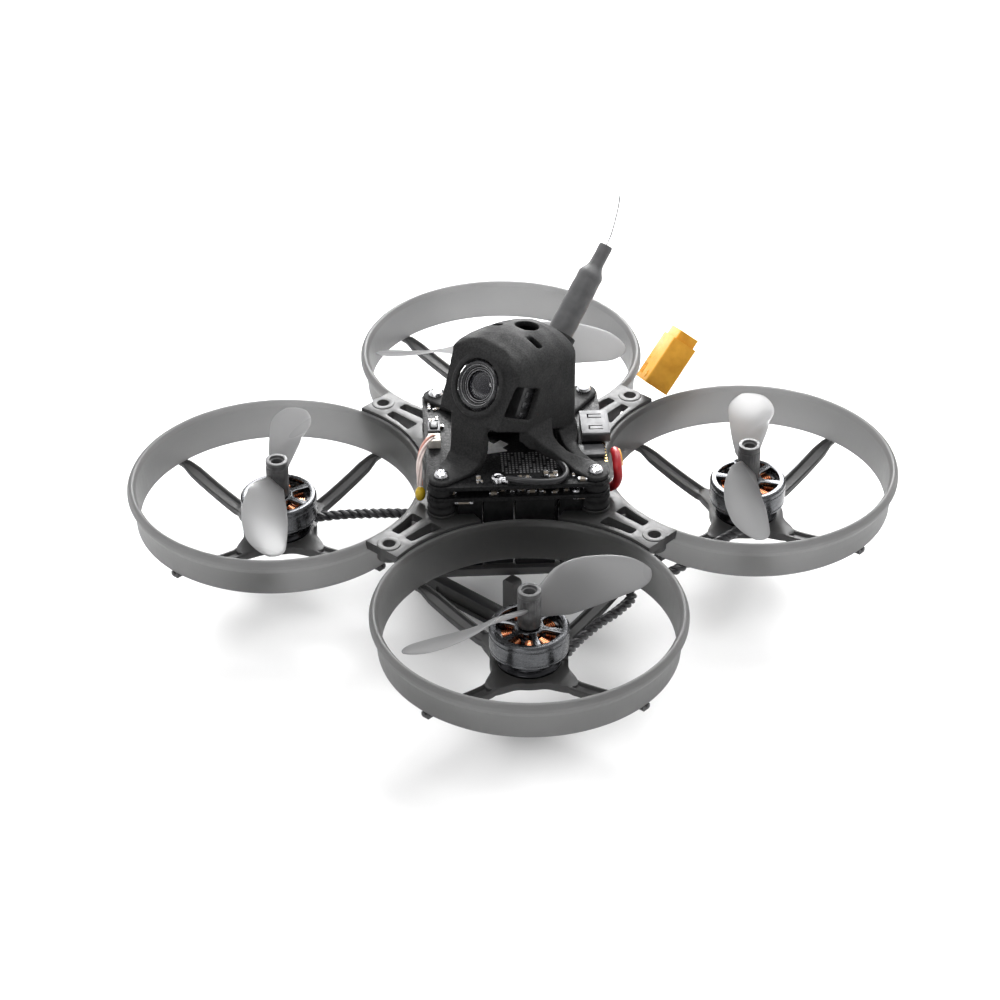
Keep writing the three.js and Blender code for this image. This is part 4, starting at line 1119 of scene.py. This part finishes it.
def solder_joints():
    """Shiny solder domes where the motor and battery leads meet the lower board."""
    domes = []
    spots = [(x * sign, side * 14.6) for side in (-1, 1) for sign in (-1, 1) for x in (6.4, 8.2, 10)]
    for along, across in spots:
        levels = [(CONTROLLER_BOTTOM, -1)] + ([(CONTROLLER_TOP, 1)] if across > 0 or along > 9 else [])
        for level, facing in levels:
            rings = []
            for share in (0, 0.35, 0.7, 0.95):
                radius = 0.75 * math.sqrt(1 - share * share)
                height = level + facing * (0.55 * share - 0.02)
                spot = on_board(along, across, 0) @ Vector((0, 0, height))
                rings.append([spot + Vector((radius * math.cos(t), radius * math.sin(t), 0))
                              for t in (2 * math.pi * k / 16 for k in range(16))])
            domes.append(loft(rings))
    return merged(domes)


fit_out_boards()
piece("solder_joints", solder_joints(), SOLDER)


# ---------------------------------------------------------------- ports, switch and small leads
def usb_shell():
    """Drawn steel shell, wider at the top, with two latch slots and an open mouth."""
    bottom = TRANSMITTER_TOP
    section = rounded([(-2.9, bottom), (2.9, bottom), (4, bottom + 0.9), (4, bottom + 2.6), (-4, bottom + 2.6),
                       (-4, bottom + 0.9)], 0.35)
    inner = rounded([(-2.5, bottom + 0.35), (2.5, bottom + 0.35), (3.6, bottom + 1.1), (3.6, bottom + 2.25),
                     (-3.6, bottom + 2.25), (-3.6, bottom + 1.1)], 0.25)
    lay = Matrix(((0, 0, 1, 0), (1, 0, 0, 0), (0, 1, 0, 0), (0, 0, 0, 1)))
    shell = moved(plate(section, 11.9, 16.9, edge=0.08), lay)
    mouth = moved(plate(inner, 12.6, 18, edge=0), lay)
    slots = []
    for side in (-1.9, 1.9):
        slots += [block((13.3, side + edge - 0.14, bottom + 2), (15.7, side + edge + 0.14, bottom + 3), 0)
                  for edge in (-0.55, 0.55)]
        slots.append(block((13.16, side - 0.69, bottom + 2), (13.44, side + 0.69, bottom + 3), 0))
    return combined(shell, [mouth, *slots])


def usb_tongue():
    bottom = TRANSMITTER_TOP + 1.15
    return block((12.5, -2.7, bottom), (16.3, 2.7, bottom + 0.55), 0.08)


def switch_frame():
    low, high = (-15.45, 0.0, TRANSMITTER_TOP), (-13.15, 3.4, TRANSMITTER_TOP + 1.7)
    shell = block(low, high, 0.12)
    well = block((-15.05, 0.55, TRANSMITTER_TOP + 0.7), (-13.55, 2.85, TRANSMITTER_TOP + 3), 0.05)
    lugs = [block((x, -0.12, TRANSMITTER_TOP), (x + 0.5, 3.52, TRANSMITTER_TOP + 1.1), 0.05) for x in (-15.3, -13.8)]
    return combined(combined(shell, lugs, "UNION"), [well])


def bind_button():
    bottom = TRANSMITTER_TOP + 1.05
    return block((-14.9, 0.7, bottom), (-13.7, 2.7, TRANSMITTER_TOP + 2.05), 0.15)


def cable_plug():
    bottom = TRANSMITTER_TOP
    body = block((-15.4, -3.2, bottom), (-13.2, -0.6, bottom + 1.6), 0.12)
    grooves = [block((-15.6, y, bottom + 1.3), (-13, y + 0.2, bottom + 2), 0) for y in (-2.6, -2.0, -1.4)]
    return combined(body, grooves)


piece("usb_shell", usb_shell(), SHADED_PORT_STEEL, DIAGONAL, stands_for=("usb_port",))
piece("usb_tongue", usb_tongue(), DARK_CHIP_AND_SHADE, DIAGONAL)
piece("switch_frame", switch_frame(), SHADED_PORT_STEEL, DIAGONAL, stands_for=("bind_switch_frame",))
piece("switch_button", bind_button(), BUTTON, DIAGONAL, "bind_switch_plunger", ("bind_button",))
piece("cable_plug", cable_plug(), NYLON, DIAGONAL, stands_for=("camera_plug",))

CABLE_ROUTE = [(-8.1, -12.6, 33.6), (-7.6, -14, 34), (-7.2, -15.8, 33.4), (-6.4, -17.8, 31.8), (-5.2, -19.2, 29.4),
               (-4.9, -19.4, 27.9)]


def camera_wires():
    """Four thin wires wound round one line that runs from the plug down to the bead."""
    line = smooth_route(CABLE_ROUTE, 8)
    return [tube(strand(line, 0.33, 13, math.pi / 2 * i), 0.24, 10) for i in range(4)]


wires = camera_wires()
piece("camera_wires_pale", merged([wires[0], wires[1], wires[3]]), WIRE_PALE, stands_for=("camera_cable",))
piece("camera_wire_pink", wires[2], WIRE_PINK)


def capacitor_bead():
    profile = [(0.94 * math.sin(math.pi * i / 16), 26.2 - 1.4 * math.cos(math.pi * i / 16)) for i in range(17)]
    return moved(revolved(profile, 32), Matrix.Translation((-4.9, -19.4, 0)))


piece("capacitor", capacitor_bead(), BEAD, stands_for=("signal_capacitor",))

INNER_LEAD = [(26, 25.2, 14.6), (22.5, 20.6, 14.5), (16.5, 14.8, 14.5), (12.4, 11.5, 14.6), (10.3, 9.7, 15.6),
              (9.7, 9.3, 20), (9.6, 9.2, 27.5)]
SIDE_LEAD = [(35.2, 26.6, 14.8), (34.2, 23, 14.6), (33.2, 16, 14.2), (32.7, 9, 13.6), (31.4, 4.4, 13.4),
             (26, 3.3, 13.9), (20, 4.6, 14.4), (15.8, 5.2, 15.4), (13.6, 4.6, 20), (13.2, 4.4, 27.5)]


def motor_lead(place):
    """Three thin wires twisted together."""
    points = SIDE_LEAD if place.endswith("left") else INNER_LEAD
    side = 1 if place.endswith("left") else -1
    end = 1 if place.startswith("rear") else -1
    line = smooth_route([(x * side, y * end, z) for x, y, z in points], 12)
    return merged([tube(strand(line, 0.5, 4.4, 2 * math.pi / 3 * i), 0.46, 10) for i in range(3)])


for place in PLACES:
    piece(f"phase_wires_{place}", motor_lead(place), WIRE_BLACK, stands_for=(f"motor_lead_{place}",))


def signal_wires():
    """Two thin wires that leave the left corner of the boards beside the red lead."""
    routes = [[(15.9, 8.3, 30.4), (16.5, 7.9, 31.6), (17.4, 7.2, 32.2), (18.3, 6.6, 31.6), (18.9, 6.2, 30.2)],
              [(16.4, 8.9, 30.2), (17.0, 8.5, 31.3), (17.9, 7.8, 31.8), (18.8, 7.2, 31.1), (19.3, 6.8, 29.8)]]
    return [tube(smooth_route(route, 8), 0.28, 10) for route in routes]


pale_wire, orange_wire = signal_wires()
piece("signal_wire_pale", pale_wire, WIRE_PALE)
piece("signal_wire_orange", orange_wire, PLUG)


def coax_connector():
    cap = turned([(0, 0), (1.15, 0), (1.15, 0.9), (0.85, 1.15), (0.6, 1.0), (0, 1.0)], 0.1, 40)
    barrel = moved(turned([(0, 0), (0.62, 0), (0.62, 1.6), (0, 1.6)], 0.08, 24),
                   Matrix.Translation((0.4, 0, 0.6)) @ Matrix.Rotation(math.radians(90), 4, "Y"))
    return combined(cap, [barrel], "UNION")


COAX_ROUTE = [(9.0, -12.2, 32.0), (11.4, -11.0, 32.1), (14.4, -8.6, 31.9), (16.2, -5.9, 31.9), (15.4, -3.6, 32.0),
              (12.6, -2.2, 32.2), (9.6, -0.8, 32.4), (5.6, 3.2, 32.8), (2.2, 6.2, 35), (0.6, 6.9, 38.5)]
coax_place = Matrix.Translation((7.6, -12.8, TRANSMITTER_TOP)) @ Matrix.Rotation(math.radians(24), 4, "Z")
piece("coax_connector", coax_connector(), SOLDER, coax_place)
piece("coax_wire", tube(smooth_route(COAX_ROUTE, 8), 0.55, 14), WIRE_BLACK)


# ---------------------------------------------------------------- canopy
def laid_side(points, width, edge=0.0):
    """A side outline of [y, z] points, as wide as given, centred on X."""
    stand = Matrix(((0, 0, 1, 0), (1, 0, 0, 0), (0, 1, 0, 0), (0, 0, 0, 1)))
    return moved(plate(points, -width / 2, width / 2, edge=edge), stand)


def face_point(along, out):
    """A point [y, z] on or off the tilted front face, measured from the lens."""
    y = LENS_FRONT.y + along * math.sin(CAMERA_TILT) - out * math.cos(CAMERA_TILT)
    z = LENS_FRONT.z + along * math.cos(CAMERA_TILT) + out * math.sin(CAMERA_TILT)
    return (y, z)


def canopy_side(inset):
    """Crowned roof, tilted face, and a lower edge that rises from the rear wall to the face."""
    rear, drop = 8.6 - inset, 4 * inset
    points = [(rear, 32.2 - drop), (rear, 50.2 - inset), (7.2 - inset * 0.8, 51.8 - inset), (3.6, 52.9 - inset),
              (-2.4, 53.4 - inset), (-5.8 + inset * 0.3, 52.9 - inset), (-7.7 + inset * 0.6, 51.2 - inset),
              face_point(4.0 - inset * 0.6, -0.8 - inset), face_point(-6.4 - drop * 0.3, -0.8 - inset),
              (-11.6 + inset, 40.2 - drop)]
    return rounded(points, 1.4, 5)


def vault(half, drop):
    """A long body under an arched roof whose crown follows the roof line from rear to front."""
    crowns = ((10, 49.8, 5.2), (8.2, 50.9, 5.1), (6, 51.9, 4.9), (3, 52.7, 4.6), (-1, 53.3, 4.1), (-3.8, 53.4, 3.6),
              (-6.2, 53.0, 3.0), (-9, 51.6, 2.5), (-20, 46, 2.4))
    rings = []
    for y, crown, rise in crowns:
        arch = [(half * math.cos(t), crown - drop - rise * (1 - math.sin(t))) for t in
                (math.pi * k / 28 for k in range(29))]
        rings.append([(x, y, z) for x, z in [(half, 20), *arch, (-half, 20)]])
    return loft(rings)


def canopy_block(inset):
    half = 7.8 - inset
    plan = rounded([(-half, -7.2), (-5.9 + inset * 0.7, -16), (5.9 - inset * 0.7, -16), (half, -7.2),
                    (half, 8.6 - inset), (-half, 8.6 - inset)], 1.7, 5)
    limits = [vault(half, inset), plate(plan, 20, 60, edge=0)]
    return combined(laid_side(canopy_side(inset), 20), limits, "INTERSECT")


def canopy_leg(slope, plan, turn, window=None):
    """A bent strip to a screw foot: a side outline cut to a plan outline, with the foot's round end."""
    foot_disc = [(2.3 * math.cos(t), SCREW_DISTANCE + 2.3 * math.sin(t)) for t in
                 (math.pi * k / 12 for k in range(13))]
    right, left = plan
    leg = combined(laid_side(slope, 26), [plate([*right, *foot_disc, *left], 28, 46, edge=0)], "INTERSECT")
    if window:
        leg = combined(leg, [plate(rounded(window, 0.4), 26, 50, edge=0)])
    return moved(leg, Matrix.Rotation(math.radians(turn), 4, "Z"))


def canopy_legs():
    """Front and rear walls that bend into a foot, and on each side a rib with a low flange behind it."""
    foot, end = TRANSMITTER_TOP, SCREW_DISTANCE + 2.4
    front_slope = [(10.2, 42), (11.9, 40.2), (12.4, 37.5), (12.6, 34.8), (13.2, 33), (15, foot + 0.95),
                   (16.5, foot + 0.85), (end, foot + 0.85), (end, foot), (14.6, foot), (12.6, foot + 1), (11.6, 34.4),
                   (11.3, 37.5), (10.4, 40.2), (9.4, 42)]
    front_plan = ([(5.2, 9), (4.6, 11), (3.6, 12.8), (3.1, 15)], [(-3.1, 15), (-3.6, 12.8), (-4.6, 11), (-5.2, 9)])
    rear_slope = [(7.6, 36), (8.6, 36), (8.8, 34), (10, 32.6), (12.5, foot + 0.85), (end, foot + 0.85), (end, foot),
                  (10, foot), (8, foot + 1.2), (7.6, 33)]
    rear_plan = ([(4.8, 7.4), (3.4, 13)], [(-3.4, 13), (-4.8, 7.4)])
    rib_slope = [(6.8, 38.4), (7.9, 37.6), (9, 35.8), (10.8, 34.3), (13.4, 33), (16.2, foot + 1), (end, foot + 0.85),
                 (end, foot), (15.6, foot), (12.6, foot + 0.7), (10, 32.7), (8, 34.2), (6.8, 36.4)]
    rib_plan = ([(6.6, 7), (4.2, 8.8), (2.7, 11.4), (2.2, 14.5)], [(-2.2, 16.5), (0.1, 12.5), (0.3, 9.6), (-1.6, 7)])
    flange_slope = [(6.8, 34), (7.9, 33.6), (8.6, 32.6), (10, foot + 0.85), (end, foot + 0.85), (end, foot),
                    (6.8, foot)]
    flange_plan = ([(1.6, 16.5), (-1.7, 12.4), (-2.6, 9.8), (-3.6, 7)][::-1], [(-2.3, 17), (-3.4, 13), (-5, 10.4),
                                                                           (-7, 9.2), (-8.4, 7.4), (-8.4, 7)])
    legs = [canopy_leg(front_slope, front_plan, 180), canopy_leg(rear_slope, rear_plan, 0)]
    for turn, side in ((-90, 1), (90, -1)):
        for slope, (right, left) in ((rib_slope, rib_plan), (flange_slope, flange_plan)):
            if side < 0:
                right, left = [(-x, y) for x, y in reversed(left)], [(-x, y) for x, y in reversed(right)]
            legs.append(canopy_leg(slope, (right, left), turn))
    return legs


def canopy():
    collar = moved(turned([(0, -6), (3.1, -6), (3.1, 0.4), (0, 0.4)], 0.2, 48), ANTENNA_PLACE)
    bezel = moved(turned([(0, -6.5), (6.5, -6.5), (6.3, -1.9), (5.6, -0.1), (0, -0.1)], 0.4, 64), lens_place())
    shell = combined(canopy_block(0), [*canopy_legs(), collar, bezel], "UNION")
    tilt = math.radians(-27)
    window = rounded([(-2.9, -3.4), (3.0, -3.4), (3.0, 3.4), (-2.9, 3.4)], 0.5)
    window_tool = moved(plate(window, -15, 15, edge=0), Matrix.Rotation(math.pi / 2, 4, "Y"))
    cutters = [
        canopy_block(1.1),
        moved(plate(circle(4.66, steps=64), -8, 3, edge=0), lens_place()),
        moved(plate(circle(2.5, steps=40), -10, 10, edge=0), ANTENNA_PLACE),
        moved(window_tool, Matrix.Translation((0, -6.2, 43.9)) @ Matrix.Rotation(tilt, 4, "X")),
        plate(circle(2.1, 0, 3.4, 40), 46, 60, edge=0),
        block((3.2, -0.4, 46), (5.9, 0.9, 60), 0.2),
        block((-5.9, -0.4, 46), (-3.2, 0.9, 60), 0.2),
    ]
    screw_holes = [plate(circle(0.95, spot.x, spot.y, 24), 29, 34, edge=0) for spot in
                   (corner_place(corner) @ Vector((0, SCREW_DISTANCE, 0)) for corner in CORNERS)]
    return combined(shell, cutters + screw_holes)


def canopy_shell():
    return softened(canopy(), 0.18, 5)


piece("canopy_shell", canopy_shell(), CANOPY, stands_for=("canopy",), sharp=60)


# ---------------------------------------------------------------- camera
def camera_body():
    return block((-6.2, -5.9, -13.4), (6.2, 5.6, -5.4), 0.5)


def side_plates():
    """Raised heat plates with grooves on the camera's two sides."""
    parts = []
    for side in (-1, 1):
        for step in range(4):
            low, high = sorted((side * 6.1, side * 6.34))
            parts.append(block((low, -3.6 + 1.9 * step, -12.6), (high, -2.5 + 1.9 * step, -6.2), 0.08))
    return merged(parts)


def lens_barrel():
    """Threaded barrel with a chamfered lip and stepped rings round the glass."""
    return turned([
        (3.25, -5.0), (4.3, -5.0), (4.3, -2.6), (4.6, -2.6), (4.6, -1.9), (4.3, -1.9), (4.3, -0.45), (4.05, -0.05), (3.85, -0.05), (3.75, -0.35), (3.55, -0.4),
        (3.5, -0.75), (3.3, -0.8), (3.25, -1.3),
    ], 0.07, 96)


def retaining_ring():
    return turned([(2.62, -1.9), (3.2, -1.9), (3.2, -1.05), (3.05, -0.95), (2.85, -0.95), (2.62, -1.3)], 0.06, 96)


def highlight_rings():
    """Thin light metal rings on the barrel's lip, the retaining ring and the first step below the glass: painted
    highlights for the bright arcs round the lens.
    """
    edges = ((3.62, -0.36), (3.12, -0.93), (2.72, -1.0), (2.4, -2.28), (1.85, -2.7))
    return merged([turned([(radius - 0.09, level - 0.12), (radius, level - 0.12), (radius, level + 0.04),
                           (radius - 0.09, level + 0.04)], 0.02, 96) for radius, level in edges])


def iris_rings():
    """Dark stepped cone and pupil below the front glass."""
    return turned([(0, -4.6), (2.95, -4.6), (2.95, -1.9), (2.55, -1.9), (2.4, -2.3), (2.0, -2.35), (1.85, -2.75),
                   (1.45, -2.8), (1.3, -3.1), (0.95, -3.15), (0.85, -3.6), (0, -3.6)], 0.05, 96)


def glass_dome():
    profile = [(0, -2.1), (2.58, -2.1)]
    profile += [(2.58 * math.cos(math.pi / 2 * i / 12), -1.55 + 0.75 * math.sin(math.pi / 2 * i / 12))
                for i in range(13)]
    profile[-1] = (0, profile[-1][1])
    return revolved(profile, 64)


def rear_element():
    profile = [(0, -3.55)] + [(0.9 * math.cos(math.pi / 2 * i / 8), -3.5 + 0.4 * math.sin(math.pi / 2 * i / 8))
                              for i in range(9)]
    profile[-1] = (0, profile[-1][1])
    return revolved(profile, 40)


HEAD = lens_place()
piece("camera_case", camera_body(), CAMERA, HEAD, stands_for=("camera_body",))
piece("camera_side_plates", side_plates(), BARREL, HEAD)
piece("barrel", lens_barrel(), BARREL, HEAD, stands_for=("lens_barrel",))
piece("retaining_ring", retaining_ring(), IRIS, HEAD)
piece("iris", iris_rings(), IRIS, HEAD)
piece("highlight_rings", highlight_rings(), HIGHLIGHT_METAL, HEAD)
piece("front_glass", glass_dome(), GLASS, HEAD, stands_for=("lens_glass",))
piece("rear_glass", rear_element(), GLASS, HEAD)


# ---------------------------------------------------------------- antenna
def sleeve():
    """Shrunk sleeve: thick part, round shoulder, thinner part, each with slight waves."""
    profile = [(0, -5.5), (2.36, -5.5)]
    for i in range(25):
        along = -1.6 + 13.6 * i / 24
        profile.append((2.36 - 0.03 * math.sin(along * 1.9) - 0.06 * i / 24, along))
    profile += [(2.1, 12.5), (1.72, 13.1), (1.42, 13.7), (1.32, 14.2), (1.27, 16), (1.3, 17.6), (1.2, 18), (0, 18)]
    return revolved(profile, 56)


WHIP_ROUTE = [(0, 25.1, 59.8), (0, 26.2, 61.4), (0, 27.1, 63.5), (0, 27.9, 65.8), (0, 28.4, 68.2)]
piece("antenna_cover", sleeve(), SLEEVE, ANTENNA_PLACE, stands_for=("antenna_sleeve",), sharp=50)
piece("whip", tube([Vector((0, 24.6, 59.2)), *smooth_route(WHIP_ROUTE, 8)], 0.14, 10), WHIP,
      stands_for=("antenna_whip",))


# ---------------------------------------------------------------- floor and light
def add_floor():
    bm = bmesh.new()
    bmesh.ops.create_grid(bm, x_segments=2, y_segments=2, size=4)
    mesh = bpy.data.meshes.new("floor")
    bm.to_mesh(mesh)
    bm.free()
    mesh.materials.append(FLOOR)
    floor = bpy.data.objects.new("floor", mesh)
    bpy.context.scene.collection.objects.link(floor)


def add_light(name, place, size, power, color=(1, 1, 1)):
    light = bpy.data.lights.new(name, "AREA")
    light.shape = "RECTANGLE"
    light.size, light.size_y = size
    light.energy = power
    light.color = color
    lamp = bpy.data.objects.new(name, light)
    bpy.context.scene.collection.objects.link(lamp)
    lamp.location = place
    lamp.rotation_mode = "QUATERNION"
    lamp.rotation_quaternion = (Vector((0, 0, 0.02)) - Vector(place)).to_track_quat("-Z", "Y")


def add_world():
    """A pale studio that is brighter behind the object than in front of it."""
    world = bpy.data.worlds.new("studio")
    bpy.context.scene.world = world
    world.use_nodes = True
    tree = world.node_tree
    direction = tree.nodes.new("ShaderNodeTexCoord")
    lean = tree.nodes.new("ShaderNodeVectorMath")
    lean.operation = "DOT_PRODUCT"
    lean.inputs[1].default_value = (-0.62, 0.7, 0.35)
    shade = tree.nodes.new("ShaderNodeMapRange")
    shade.inputs["From Min"].default_value = -0.6
    shade.inputs["From Max"].default_value = 0.9
    shade.inputs["To Min"].default_value = 0.25
    shade.inputs["To Max"].default_value = 1.25
    tree.links.new(direction.outputs["Generated"], lean.inputs[0])
    tree.links.new(lean.outputs["Value"], shade.inputs["Value"])
    tree.links.new(shade.outputs["Result"], tree.nodes["Background"].inputs["Strength"])
    tree.nodes["Background"].inputs["Color"].default_value = (1, 1, 1, 1)


add_floor()
add_world()
add_light("overhead", (-0.1, 0.25, 0.9), (0.9, 0.7), 7.5)
add_light("rear_left", (0.1, 0.8, 0.5), (0.6, 0.4), 2.0)
add_light("close_rear", (-0.15, 0.19, 0.15), (0.16, 0.12), 1.15)
add_light("key", (0.25, -0.75, 0.55), (0.35, 0.25), 1.5)
bpy.context.scene.view_settings.view_transform = "Standard"
